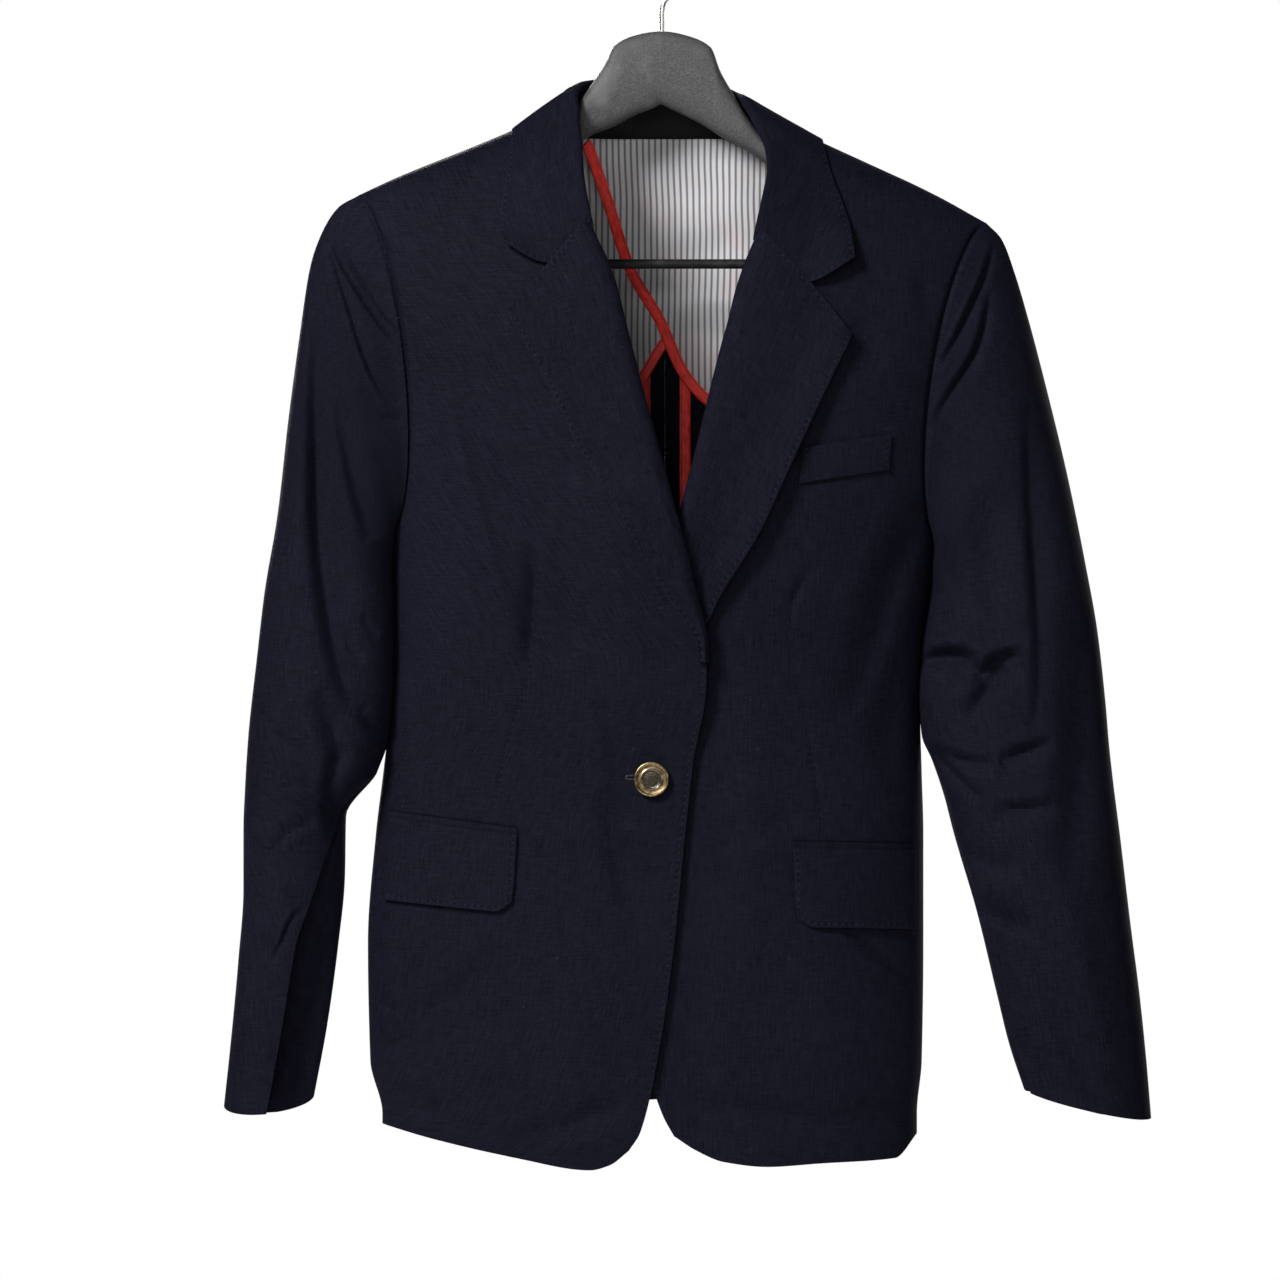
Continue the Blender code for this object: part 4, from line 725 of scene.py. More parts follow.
def red_binding():
    """Red satin binding, puckered along its row of machine stitches."""
    satin = Finish("red_binding", Specular_IOR_Level=0.4, Sheen_Weight=0.15, Sheen_Roughness=0.3)
    across, along = satin.along("Weave")
    _, inset = satin.along("Edges")
    pucker = satin.streaks(across * 160.0, along * 420.0, 2.0)
    stitch = inset.bell(0.0011, 0.0003) * along.wave(0.0024).above(0.0, 0.4)
    ribs = (along + across * 0.6).wave(0.0007)
    colour = satin.mix(pucker.above(0.5, 0.25), (0.52, 0.014, 0.010), (0.90, 0.040, 0.028))
    colour = satin.mix(stitch * 0.7, colour, (0.18, 0.008, 0.008))
    return satin.finished(colour, 0.42 + pucker * 0.2, pucker * 0.5 + ribs * 0.03 - stitch * 0.25)


def black_facing():
    """Black ribbed facing at the back of the neck."""
    facing = Finish("black_facing", Specular_IOR_Level=0.2, Sheen_Weight=0.05)
    across, along = facing.along("Weave")
    slubs = facing.streaks(across * 300.0, along * 900.0, 2.0)
    colour = facing.mix(slubs.above(0.5, 0.3), (0.003, 0.003, 0.004), (0.009, 0.009, 0.011))
    return facing.finished(colour, 0.6 + slubs * 0.2, along.wave(0.0014) * 0.1 + slubs * 0.15)


def sewing_thread():
    """Twisted navy sewing thread."""
    thread = Finish("sewing_thread", Specular_IOR_Level=0.25, Sheen_Weight=0.1)
    across, along = thread.along("Weave")
    twist = (across * 2.0 + along).wave(0.0006)
    colour = thread.mix(twist.above(0.0, 0.8), (0.006, 0.006, 0.012), (0.020, 0.019, 0.032))
    return thread.finished(colour, 0.6 + twist * 0.1, twist * 0.15)


def bronze():
    """Darkened bronze, with lighter patches where its tarnish is thin."""
    metal = Finish("bronze", Metallic=1.0)
    across, along = metal.along("Weave")
    brushed = metal.streaks(across * 5000.0, along * 300.0, 2.0)
    tarnish = metal.noise(metal.place(), 420.0, 3.0)
    colour = metal.mix(tarnish.above(0.5, 0.2), (0.085, 0.058, 0.028), (0.30, 0.22, 0.12))
    return metal.finished(colour, 0.22 + brushed * 0.12 + tarnish * 0.08, brushed * 0.02)


def hanger_plastic():
    """Charcoal plastic with a fine, even grain and pale rubbed patches."""
    plastic = Finish("hanger_plastic", Specular_IOR_Level=0.35)
    place = plastic.place()
    factors = {0: place, 1: (900.0, 900.0, 1300.0)}
    stretched = plastic.node("ShaderNodeVectorMath", {"operation": "MULTIPLY"}, factors)
    grain = plastic.noise(stretched, 1.0, 5.0, 0.75)
    pits = plastic.noise(place, 1300.0, 2.0)
    cloud = plastic.noise(place, 40.0, 2.0)
    colour = plastic.mix(grain.above(0.55, 0.12), (0.027, 0.027, 0.028), (0.072, 0.071, 0.072))
    colour = plastic.mix(cloud.above(0.62, 0.08) * 0.35, colour, (0.12, 0.118, 0.116))
    return plastic.finished(colour, 0.5 + grain * 0.2, grain * 0.34 + pits * 0.1)


def speckled(name, grain, step, low, high, rough, height, **constants):
    """A finish with one grain: the scale, detail and roughness of its noise, the level and softness
    of the step between its two colours (or None), its roughness and what the grain adds to it, and
    how high the grain stands, in millimetres."""
    finish = Finish(name, **constants)
    speck = finish.noise(finish.place(), *grain)
    colour = finish.mix(speck.above(*step) if step else speck, low, high)
    return finish.finished(colour, rough[0] + speck * rough[1], speck * height)


# ---- Form ----


def smooth(t):
    t = np.clip(t, 0.0, 1.0)
    return t * t * (3 - 2 * t)


def mix(a, b, t):
    return a + (b - a) * t


def bell(away, width):
    """1 where away is nothing, falling off over a width."""
    return np.exp(-((away / width) ** 2))


def xyz(x, y, z):
    """Points from grids of coordinates, or from numbers that all of them share."""
    return np.stack(np.broadcast_arrays(x, y, z), axis=-1)


def unit(vectors):
    return vectors / np.linalg.norm(vectors, axis=-1, keepdims=True)


def full_turn(count):
    return np.linspace(0, math.tau, count, endpoint=False)


def spread(count, power=1.0):
    """Shares from 0 to 1; a power above 1 crowds them towards 1."""
    return 1 - (1 - np.linspace(0, 1, count)) ** power


def spread_to_ends(count, crowding=0.05):
    t = np.linspace(0, 1, count)
    return t - crowding * np.sin(math.tau * t)


def smooth_line(points, share):
    """Points on the smooth curve through some points, at shares of their number."""
    points = np.asarray(points, float)
    last = len(points) - 1
    place = np.clip(share, 0, 1) * last
    i = np.minimum(place.astype(int), last - 1)
    t = (place - i)[..., None]
    a, b, c, d = (points[np.clip(i + k, 0, last)] for k in (-1, 0, 1, 2))
    return 0.5 * (2 * b + (c - a) * t + (2 * a - 5 * b + 4 * c - d) * t**2 + (3 * b - 3 * c + d - a) * t**3)


def from_line(x, z, points):
    """How far points lie from a line, on which side of it, how far along it they are, and its length."""
    line = smooth_line(points, np.linspace(0, 1, 5 * len(points)))
    steps = np.hypot(*np.diff(line, axis=0).T)
    starts = np.concatenate([[0], np.cumsum(steps)])
    nearest = np.full(np.broadcast(x, z).shape, 1e9)
    passed = np.zeros_like(nearest)
    for (x0, z0), (x1, z1), start, step in zip(line, line[1:], starts, steps):
        dx, dz = (x1 - x0) / step, (z1 - z0) / step
        t = np.clip((x - x0) * dx + (z - z0) * dz, 0, step)
        away = np.hypot(x - x0 - t * dx, z - z0 - t * dz)
        side = np.sign((x - x0) * dz - (z - z0) * dx)
        closer = away < np.abs(nearest)
        nearest = np.where(closer, away * np.where(side == 0, 1, side), nearest)
        passed = np.where(closer, start + t, passed)
    return nearest, passed, starts[-1]


def creased(x, z, creases):
    """How far some creases push the cloth out."""
    total = np.zeros(np.broadcast(x, z).shape)
    for points, on_right, on_left, height, tight, roll in creases:
        away, passed, length = from_line(x, z, points)
        fade = np.sin(np.pi * np.clip(passed / length, 0.0, 1.0)) ** CREASE_ENDS
        width = np.where(away > 0, on_right, on_left)
        sharp = np.exp(-np.abs(away) / (SHARP_WIDTH * width))
        rolled = on_left if roll < 0 else on_right
        beside = bell(away - math.copysign(ROLL_AWAY, roll) * rolled, ROLL_WIDTH * rolled)
        total += fade * (height * mix(bell(away, width), sharp, tight) + abs(roll) * beside)
    return total


def body_depth(x, z, face):
    """Distance of the body's cloth from the middle plane; face is front or back."""
    half = np.where(x > 0, BODY.at("left", z), BODY.at("right", z))
    across = np.minimum(np.abs(x / half), 1.0)
    top = (FRONT_TOP if face == "front" else BACK_TOP).at("z", x)
    up = np.clip((z - top + TOP_DROP) / TOP_DROP, 0.0, 1.0)
    side = (1 - across**SIDE_POWER) ** SIDE_ROOT
    return BODY.at(face, z) * side * (1 - up**TOP_POWER) ** TOP_ROOT


def side_of_body(side, y, z):
    """How far out the body's side lies at a depth."""
    deep = np.where(y < 0, BODY.at("front", z), BODY.at("back", z))
    share = np.minimum(np.abs(y) / deep, 1.0)
    return np.abs(BODY.at(side, z)) * (1 - share ** (1 / SIDE_ROOT)) ** (1 / SIDE_POWER)


def front_depth(x, z, side):
    """Depth of a front's outer surface, with its folds, lifted where it laps over the other front."""
    base = body_depth(x, z, "front")
    depth = base + smooth(base / CREASE_FADE) * creased(x, z, FRONT_CREASES[side])
    away, _, _ = from_line(x, z, DARTS[side])
    depth += DART_DEPTH * bell(away, DART_WIDTH)
    if side == "left":
        return depth - LAP_LIFT * smooth((UNDERLAP_X - x) / UNDERLAP_FADE)
    below_top = smooth((LAP_TOP_Z - z) / LAP_TOP_FADE)
    lapped = smooth((x - LAP_START_X + LAP_FADE) / LAP_FADE) * below_top
    above_foot = smooth((z - OVER_LAPEL_FOOT_Z) / OVER_LAPEL_FOOT_FADE)
    over_lapel = below_top * above_foot * smooth((x - OVER_LAPEL_X) / OVER_LAPEL_FADE)
    return depth + LAP_LIFT * lapped + LAPEL_LIFT * over_lapel


def back_depth(x, z):
    base = body_depth(x, z, "back")
    return base + smooth(base / CREASE_FADE) * creased(x, z, BACK_CREASES)


def outer_x(side, z, bow):
    """The outer boundary of a body panel: side seam, then armhole."""
    hole = ARMHOLES[side]
    (top_x, top_z), (foot_x, foot_z) = hole["top"], hole["foot"]
    cosine = np.clip((z - (top_z + foot_z) / 2) / ((top_z - foot_z) / 2), -1.0, 1.0)
    sine = np.sqrt(1 - cosine * cosine)
    armhole = (top_x + foot_x) / 2 + cosine * (top_x - foot_x) / 2 + hole[bow] * sine**BOW_POWER
    seam = mix(foot_x, BODY.at(side, z), smooth((foot_z - z) / UNDERARM_FADE))
    return np.where(z > foot_z, armhole, seam)


def sunk_at_armhole(depth, side, x, z, outer):
    """A panel's depth, with the armhole seam's valley along its outer boundary."""
    below = VALLEY_CLEAR * smooth((ARMHOLES[side]["foot"][1] - z) / VALLEY_FOOT_FADE)
    return depth - SEAM_VALLEY * bell(np.abs(x - outer) + below, VALLEY_WIDTH) * smooth(depth / VALLEY_FADE)


def faces_tree(points):
    """The faces of a grid of points, for laying other pieces on them."""
    rows, columns = points.shape[:2]
    return BVHTree.FromPolygons(points.reshape(-1, 3).tolist(), quads_of(rows, columns).tolist())


def quads_of(rows, columns):
    index = np.arange(rows * columns).reshape(rows, columns)
    corners = (index[:-1, :-1], index[:-1, 1:], index[1:, 1:], index[1:, :-1])
    return np.stack(corners, axis=-1).reshape(-1, 4)


def held_off(tree, x, z, out, bare):
    """The depth at which a point lies off a piece, or off the bare body beyond its edges."""
    place, normal, _, _ = tree.ray_cast(Vector((x, BEFORE_ALL_Y, z)), Vector((0, 1, 0)))
    return bare - out if place is None else place.y - out / max(abs(normal.y), LEAST_FACING)


def laid_on(tree, x, z, out, side=None, reach=0.0):
    """Points laid on a front, or inside the back, clear of all that lies within reach of them."""
    around = [(0, 0)]
    if reach:
        around += [(reach, 0), (-reach, 0), (0, reach), (0, -reach)]
    x, z, out = np.broadcast_arrays(x, z, out)
    bare = -front_depth(x, z, side) if side else body_depth(x, z, "back")
    y = [
        min(held_off(tree, a + dx, c + dz, o, b) for dx, dz in around)
        for a, c, o, b in zip(x.ravel(), z.ravel(), out.ravel(), bare.ravel())
    ]
    return xyz(x, np.reshape(y, x.shape), z)


# ---- Meshes ----


def arc(points, axis):
    """Distance along the rows (axis 1) or the columns (axis 0) of a grid."""
    steps = np.linalg.norm(np.diff(points, axis=axis), axis=-1)
    return np.concatenate([np.zeros_like(steps.take([0], axis)), np.cumsum(steps, axis=axis)], axis=axis)


def edge_places(points, edges, lines):
    """For each point, how far along the nearest stitched edge it lies and how far in from it."""
    across, up = arc(points, 1), arc(points, 0)
    choices = {
        "first": (up, across),
        "last": (up, across[:, -1:] - across),
        "bottom": (across, up),
        "top": (across, up[-1:, :] - up),
    }
    inset, passed = np.full(across.shape, FAR_FROM_EDGE), up
    for name in edges:
        step_along, step_in = choices[name]
        passed = np.where(step_in < inset, step_along, passed)
        inset = np.minimum(inset, step_in)
    for line in lines:
        away, step_along, _ = from_line(points[..., 0], points[..., 2], line)
        on_line = np.abs(away) + STITCH_INSET / MM
        passed = np.where(on_line < inset - 1, step_along, passed)
        inset = np.where(on_line < inset - 1, on_line, inset)
    return np.stack([passed, inset], axis=-1)


def upright(points):
    """Cloth coordinates with the warp upright: across by distance, up by height."""
    return np.stack([points[:, :1, 0] + arc(points, 1), points[..., 2]], axis=-1)


def hanging(points):
    """Cloth coordinates straight across and straight down."""
    return points[..., [0, 2]]


def following(points):
    """Cloth coordinates that follow the piece's own rows and columns."""
    return np.stack([arc(points, 1), arc(points, 0)], axis=-1)


def mesh_object(name, points, quads, layers, finish):
    mesh = bpy.data.meshes.new(name)
    mesh.from_pydata((points.reshape(-1, 3) * MM).tolist(), [], quads)
    corners = np.empty(len(mesh.loops), int)
    mesh.loops.foreach_get("vertex_index", corners)
    for layer, values in layers.items():
        uv = mesh.uv_layers.new(name=layer)
        uv.data.foreach_set("uv", (values.reshape(-1, 2)[corners] * MM).ravel())
    mesh.shade_smooth()
    made = bpy.data.objects.new(name, mesh)
    bpy.context.scene.collection.objects.link(made)
    made.data.materials.append(finish)
    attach(made, "root")
    return made


def forward(middles):
    return np.broadcast_to((0.0, -1.0, 0.0), middles.shape)


def backward(middles):
    return np.broadcast_to((0.0, 1.0, 0.0), middles.shape)


def out_of_neck(middles):
    return middles * (1, 1, 0) + (0, 0, 14)


def into_neck(middles):
    return middles * (-1, -1, 0)


def cloth(
    name, points, thickness, finish, slot, rests_on, outward=forward, edges=(), lines=(), grain=upright
):
    """A cut piece of cloth: the grid is its outer face, outward tells which way that faces."""
    points = np.asarray(points, float)
    quads = quads_of(*points.shape[:2])
    diagonals = points[1:, 1:] - points[:-1, :-1], points[1:, :-1] - points[:-1, 1:]
    normals = np.cross(*diagonals)
    middles = (points[1:, 1:] + points[:-1, :-1]) / 2
    if np.sum(normals * outward(middles)) < 0:
        quads = quads[:, ::-1]
    layers = {"Weave": grain(points), "Edges": edge_places(points, edges, lines)}
    made = mesh_object(name, points, quads.tolist(), layers, finish)
    wall = made.modifiers.new("wall", "SOLIDIFY")
    wall.thickness = thickness * MM
    wall.offset = -1
    rounding = made.modifiers.new("rounded edge", "BEVEL")
    rounding.limit_method = "ANGLE"
    rounding.angle_limit = math.radians(50)
    rounding.width = 0.3 * thickness * MM
    rounding.segments = 2
    width, length = arc(points, 1).max(), arc(points, 0).max()
    area = float(np.linalg.norm(normals, axis=-1).sum() / 2)
    area = min(max(area, LEAST_AREA * width * length), width * length)
    return made


def tube(name, rings, finish):
    """A closed solid through rings of equal point counts."""
    rings = np.asarray(rings, float)
    count = rings.shape[1]
    looped = np.concatenate([rings, rings[:, :1]], axis=1)
    index = np.arange(rings.shape[0] * count).reshape(rings.shape[0], count)
    around = np.roll(index, -1, axis=1)
    sides = np.stack([index[:-1], around[:-1], around[1:], index[1:]], axis=-1).reshape(-1, 4).tolist()
    quads = sides + [index[0][::-1].tolist(), index[-1].tolist()]
    centre = rings.mean(axis=1)
    bulge = np.cross(rings[1, 1] - rings[1, 0], rings[2, 0] - rings[1, 0])
    if np.dot(bulge, rings[1, 0] - centre[1]) < 0:
        quads = [quad[::-1] for quad in quads]
    places = np.stack([arc(looped, 1)[:, :-1], arc(looped, 0)[:, :-1]], axis=-1)
    return mesh_object(name, rings, quads, {"Weave": places, "Edges": places}, finish)


# ---- The jacket ----


def front_grid(side, rows=230, columns=124):
    """One front, from hem to shoulder seam and from front edge or roll line to side seam."""
    edge, hem = FRONT_EDGE[side], FRONT_HEM[side]
    corner_z, neck_z = edge.keys[0], edge.keys[-1]
    side_foot_x = hem.keys[0] if side == "right" else hem.keys[-1]
    side_foot_z = hem.at("z", side_foot_x)
    tip_x, tip_z = ARMHOLES[side]["top"]
    v, u = spread_to_ends(rows)[:, None], spread(columns, 1.5)[None, :]
    inner_z, outer_z = mix(corner_z, neck_z, v), mix(side_foot_z, tip_z, v)
    under_roll = ROLL_INSET * smooth((inner_z - LAPELS[side].keys[0] - ROLL_INSET_START) / ROLL_INSET_FADE)
    outer = outer_x(side, outer_z, "front_bow")
    x = mix(edge.at("x", inner_z) + OUTWARD[side] * under_roll, outer, u)
    droop = hem.at("z", mix(edge.at("x", corner_z), side_foot_x, u)) - mix(corner_z, side_foot_z, u)
    rise = FRONT_TOP.at("z", mix(edge.at("x", neck_z), tip_x, u)) - mix(neck_z, tip_z, u)
    z = mix(inner_z, outer_z, u) + droop * (1 - smooth(v / END_SHARE))
    z = z + rise * smooth((v - TOP_START) / END_SHARE)
    depth = sunk_at_armhole(front_depth(x, z, side), side, x, z, outer)
    return xyz(x, -np.maximum(depth, LEAST_DEPTH), z)


def back_grid(side, rows=130, columns=80):
    """One half of the back, from the middle seam to side seam and armhole."""
    tip_x, tip_z = ARMHOLES[side]["top"]
    v, u = spread_to_ends(rows)[:, None], spread(columns, 1.3)[None, :]
    middle_z, side_z = mix(BACK_HEM_MIDDLE_Z, BACK_NECK_Z, v), mix(BACK_HEM_SIDE_Z, tip_z, v)
    outer = outer_x(side, side_z, "back_bow")
    x = mix(MIDDLE_SEAM_X, outer, u)
    top_z = np.minimum(BACK_TOP.at("z", mix(MIDDLE_SEAM_X, tip_x, u)), BACK_NECK_Z)
    z = mix(middle_z, side_z, u) + (top_z - mix(BACK_NECK_Z, tip_z, u)) * smooth((v - TOP_START) / END_SHARE)
    depth = back_depth(x, z) - MIDDLE_SEAM_VALLEY * bell(x - MIDDLE_SEAM_X, MIDDLE_SEAM_WIDTH)
    depth = sunk_at_armhole(depth, side, x, z, outer)
    return xyz(x, np.maximum(depth, LEAST_DEPTH), z)


def sleeve_points(side, part, angle):
    """Points of a sleeve: part runs from armhole to cuff, angle from the outer edge over the front."""
    table, hole = SLEEVES[side], ARMHOLES[side]
    read = {name: table.at(name, part) for name in table.names[1:]}
    cosine, sine = np.cos(angle), np.sin(angle)
    share, in_front = np.abs(sine), sine > 0
    across = (1 + cosine) / 2
    (top_x, top_z), (foot_x, foot_z) = hole["top"], hole["foot"]
    bow = np.where(in_front, hole["front_bow"], hole["back_bow"]) * share**BOW_POWER
    x = mix(read["in_x"], read["out_x"], across) + bow * (1 - smooth(part / BOW_END))
    z = mix(read["in_z"], read["out_z"], across) - read["tilt"] * sine
    half = np.where(in_front, -read["front"], read["back"])
    seam_x, seam_z = mix(foot_x, top_x, across) + bow, mix(foot_z, top_z, across)
    joined = np.where(in_front, -front_depth(seam_x, seam_z, side), back_depth(seam_x, seam_z))
    y = mix(joined, read["middle_y"] + half * share**SLEEVE_POWER, smooth(part / JOIN_END))
    held = smooth(share / SEAM_CALM) * smooth(part / CREASE_START)
    front_relief = creased(x, z, SLEEVE_CREASES[side])
    back_relief = creased(np.abs(x), z - SLEEVE_BACK_SHIFT[side], SLEEVE_BACK_CREASES)
    y = y + held * np.where(in_front, -front_relief, back_relief)
    y = y * (1 - SEAM_VALLEY / 44 * (1 - smooth(part / TUCK_END)))
    # The underarm edge lies against the body's side
    start, fade_in, end, fade_out = PRESSED_PART
    pressed = smooth((part - start) / fade_in) * smooth((end - part) / fade_out) * (1 - across) ** 3
    beside = side_of_body(side, y, z) + SIDE_GAP
    x_out = np.abs(x) - SIDE_PRESS * pressed
    x_out = np.where((pressed > 0) & (across < 0.5), np.maximum(x_out, beside), x_out)
    return xyz(OUTWARD[side] * x_out, y, z)


def sleeve_grids(side, rows=270, front_columns=108, back_columns=20, under_columns=44):
    """The upper and under sleeve of one arm, the upper one's fold turned back below the elbow."""
    part = (np.linspace(0, 1, rows) ** 1.5)[:, None]
    table, outward = SLEEVES[side], OUTWARD[side]
    fold, behind = table.at("fold", part), table.at("behind", part)
    seam = np.minimum(np.arccos(1 - 2 * fold), FOLD_ANGLE)
    over_back = np.broadcast_to(BACK_SEAM_ANGLE * (1 - np.linspace(0, 1, back_columns)), (rows, back_columns))
    over_front = seam * np.linspace(0, 1, front_columns)[1:]
    upper = sleeve_points(side, part, np.concatenate([over_back, over_front], axis=1))
    turned = smooth(behind / 5)[..., None]
    angle = mix(seam + UNDER_START, math.tau + BACK_SEAM_ANGLE, np.linspace(0, 1, under_columns))
    under = sleeve_points(side, part, angle)
    under[..., 1] += behind * np.maximum(np.sin(angle), 0) ** SLEEVE_POWER
    edge = upper[:, -1:]
    edge_x, edge_y, edge_z = (edge[..., i] for i in range(3))
    tucked = xyz(edge_x + outward * UNDER_TUCK, under[:, :1, 1] + 0.5, edge_z)
    under[:, :1] = mix(under[:, :1], tucked, turned)
    back_to = under[:, :1, 1] - CLOTH - 0.2
    turn = []
    for angle_on, across, share in SLEEVE_TURN:
        rest = sleeve_points(side, part, seam + math.radians(angle_on))
        folded = xyz(edge_x + outward * across, mix(edge_y, back_to, share), edge_z)
        turn.append(mix(rest, folded, turned))
    return np.concatenate([upper, *turn], axis=1), under


def lapel_grid(side, tree, rows=110, columns=46):
    """One lapel, from the facing inside, round the roll line and out to the lapel's edge."""
    table, edge, outward = LAPELS[side], FRONT_EDGE[side], OUTWARD[side]
    z = mix(table.keys[0], table.keys[-1], spread(rows))[:, None]
    roll_x, edge_x, edge_z = edge.at("x", z), table.at("edge_x", z), table.at("edge_z", z)
    width = np.maximum(np.abs(edge_x - roll_x), 5.0)
    narrow = smooth(width / LAPEL_NARROW)
    at_roll = laid_on(tree, roll_x + outward * 0.5, z, 0.0, side)[..., 1]
    to_collar = UNDER_COLLAR * smooth((z - table.keys[-1] + UNDER_COLLAR_FADE) / UNDER_COLLAR_FADE)
    roll_x = roll_x + outward * (ROLL_SETBACK * narrow + to_collar)
    width = np.maximum(width - ROLL_SETBACK * narrow - to_collar, 4.0)
    turn = []
    for across, out in LAPEL_TURN:
        x = roll_x + outward * across * mix(0.6, 1, narrow)
        turn.append(xyz(x, at_roll - out * mix(0.8, 1, narrow), z))
    share = np.linspace(0, 1, columns)[1:][None, :]
    x = mix(roll_x + outward * 3.2 * narrow, roll_x + outward * width, share)
    level = mix(z, edge_z, (np.abs(x - roll_x) / width) ** GORGE_BEND[side])
    rest = LAPEL_REST + LAPEL_ROLL * (1 - smooth(share * 1.3)) * mix(0.5, 1, narrow)
    lift = LAPEL_TIP_LIFT[side] * smooth((share - 0.6) / 0.4) * mix(0.5, 1, smooth((z + 330) / 120))
    outer_part = smooth((share - 0.3) / 0.7)
    stand = LAPEL_STAND[side] * outer_part * bell(z - LAPEL_STAND_Z, LAPEL_STAND_REACH)
    leaf = laid_on(tree, x, level, rest + lift + stand, side, LAPEL_REACH)
    return np.concatenate([*turn, leaf], axis=1)


def collar_lines():
    """The collar's fold line and outer edge, held off the body's cloth."""
    lines = []
    for rows, gap in ((COLLAR_FOLD, FOLD_GAP), (COLLAR_EDGE, EDGE_GAP)):
        line = []
        for x, y, z in rows:
            if y is None:
                y = -float(front_depth(x, z, "left" if x > 0 else "right")) - gap
            line.append((x, y, z))
        lines.append(np.array(line))
    return lines


def clear_of_body(points, gap):
    """Collar points pushed out until they clear the fronts and the back."""
    x, y, z = (points[..., i] for i in range(3))
    front = np.where(x > 0, front_depth(x, z, "left"), front_depth(x, z, "right"))
    return xyz(x, np.where(y < 0, np.minimum(y, -front - gap), np.maximum(y, back_depth(x, z) + gap)), z)


def inward_of(top):
    return unit(top * (-1.0, -0.6, 0.0))


def collar_grid(columns=190, rows=26):
    """The collar's leaf, from its lip inside the neck over the fold line to its outer edge."""
    fold, outer = collar_lines()
    t, w = np.linspace(0, 1, columns)[:, None], np.linspace(0, 1, rows)[None, :]
    to_end = np.minimum(t, 1 - t)
    top, foot = smooth_line(fold, t[:, 0])[:, None, :], smooth_line(outer, t[:, 0])[:, None, :]
    points = mix(top, foot, w[..., None])
    near_end = 1 - smooth(to_end / COLLAR_END_REACH)
    for side, half in (("right", t < 0.5), ("left", t >= 0.5)):
        end = COLLAR_ENDS[side]
        for axis, name in ((0, "x"), (2, "z")):
            straight = mix(end.at(name, 0), end.at(name, 1), w)
            points[..., axis] += np.where(half, near_end * (end.at(name, w) - straight), 0)
    away = unit(points * (1, 1, 0) + (0, 6, 0))
    points += away * (COLLAR_BULGE * np.sin(np.pi * w) * (1 - near_end))[..., None]
    tip_lift = COLLAR_TIP_LIFT * (1 - smooth(to_end / COLLAR_TIP_REACH)) * smooth((w - 0.45) / 0.5)
    leaf = clear_of_body(points, LEAF_GAP + MORE_AT_FOLD * (1 - w) + tip_lift)
    inward = inward_of(top)
    down = np.array((0.0, 0.0, -1.0))
    lip = [top + inward * across + down * drop for across, drop in COLLAR_LIP]
    return np.concatenate([*lip, leaf[:, 1:]], axis=1)


def stand_grid(columns=90, rows=10):
    """The collar's stand inside the neck, under the fold line."""
    fold, _ = collar_lines()
    part = mix(STAND_HEIGHT.keys[0], STAND_HEIGHT.keys[-1], np.linspace(0, 1, columns))
    top = smooth_line(fold, part)[:, None, :]
    w = np.linspace(0, 1, rows)[None, :]
    drop = mix(STAND_DROP, STAND_HEIGHT.at("height", part)[:, None], w)
    return top + inward_of(top) * mix(*STAND_IN, w)[..., None] + drop[..., None] * np.array((0, 0, -1.0))


def neck_facing_grid(tree, columns=60, rows=12):
    w = np.linspace(0, 1, rows)[:, None]
    x = mix(*NECK_FACING_HALVES, w) * np.linspace(-1, 1, columns)
    return laid_on(tree, x, mix(*NECK_FACING_SPAN, w), NECK_FACING_DEPTH, None, LINING_REACH)


def lining_grid(side, tree, columns=80, rows=40):
    """One striped piece of the half lining, with a slanting lower edge."""
    x = mix(*LINING_SPAN[side], np.linspace(0, 1, columns))[None, :]
    below_shoulder = mix(*LINING_DROP, smooth((np.abs(x) - LINING_DROP_X) / LINING_DROP_FADE))
    top = np.minimum(LINING_TOP_Z, BACK_TOP.at("z", x) - below_shoulder)
    foot = np.minimum(LINING_EDGES[side].at("z", x), top - 5.0)
    z = mix(top, foot, np.linspace(0, 1, rows)[:, None])
    return laid_on(tree, x, z, LINING_DEPTH[side], None, LINING_REACH)


def lining_binding_grid(side, tree, columns=150):
    """The binding wrapped round a lining's slanting edge."""
    edge = LINING_EDGES[side]
    x = mix(*TRIM_SPAN[side], np.linspace(0, 1, columns))
    slope = (edge.at("z", x + 1) - edge.at("z", x - 1)) / 2
    length = np.hypot(slope, 1)
    rows = []
    for inset, rise in WRAP:
        place_x, place_z = x - slope / length * inset, edge.at("z", x) + inset / length
        rows.append(laid_on(tree, place_x, place_z, LINING_DEPTH[side] + rise, None, LINING_REACH))
    return np.stack(rows, axis=0)


def allowance_grid(side, tree, rows=90):
    """One pressed-open allowance of the middle back seam."""
    near = MIDDLE_SEAM_X + ALLOWANCE_NEAR[side]
    x = near + OUTWARD[side] * np.linspace(0, ALLOWANCE_WIDTH + 4.5, 8)[None, :]
    z = mix(*ALLOWANCE_SPAN, np.linspace(0, 1, rows))[:, None]
    return laid_on(tree, x, z, CLOTH + 0.5 + LINING)


def allowance_binding_grid(side, tree, rows=110):
    """The binding wrapped round an allowance's edge."""
    outward = OUTWARD[side]
    bound = MIDDLE_SEAM_X + ALLOWANCE_NEAR[side] + outward * (ALLOWANCE_WIDTH + BINDING_WIDTH)
    z = mix(*ALLOWANCE_SPAN, np.linspace(0, 1, rows))
    lines = [laid_on(tree, bound - outward * inset, z, CLOTH + 1.3 + rise * 0.7) for inset, rise in WRAP]
    return np.stack(lines, axis=0)


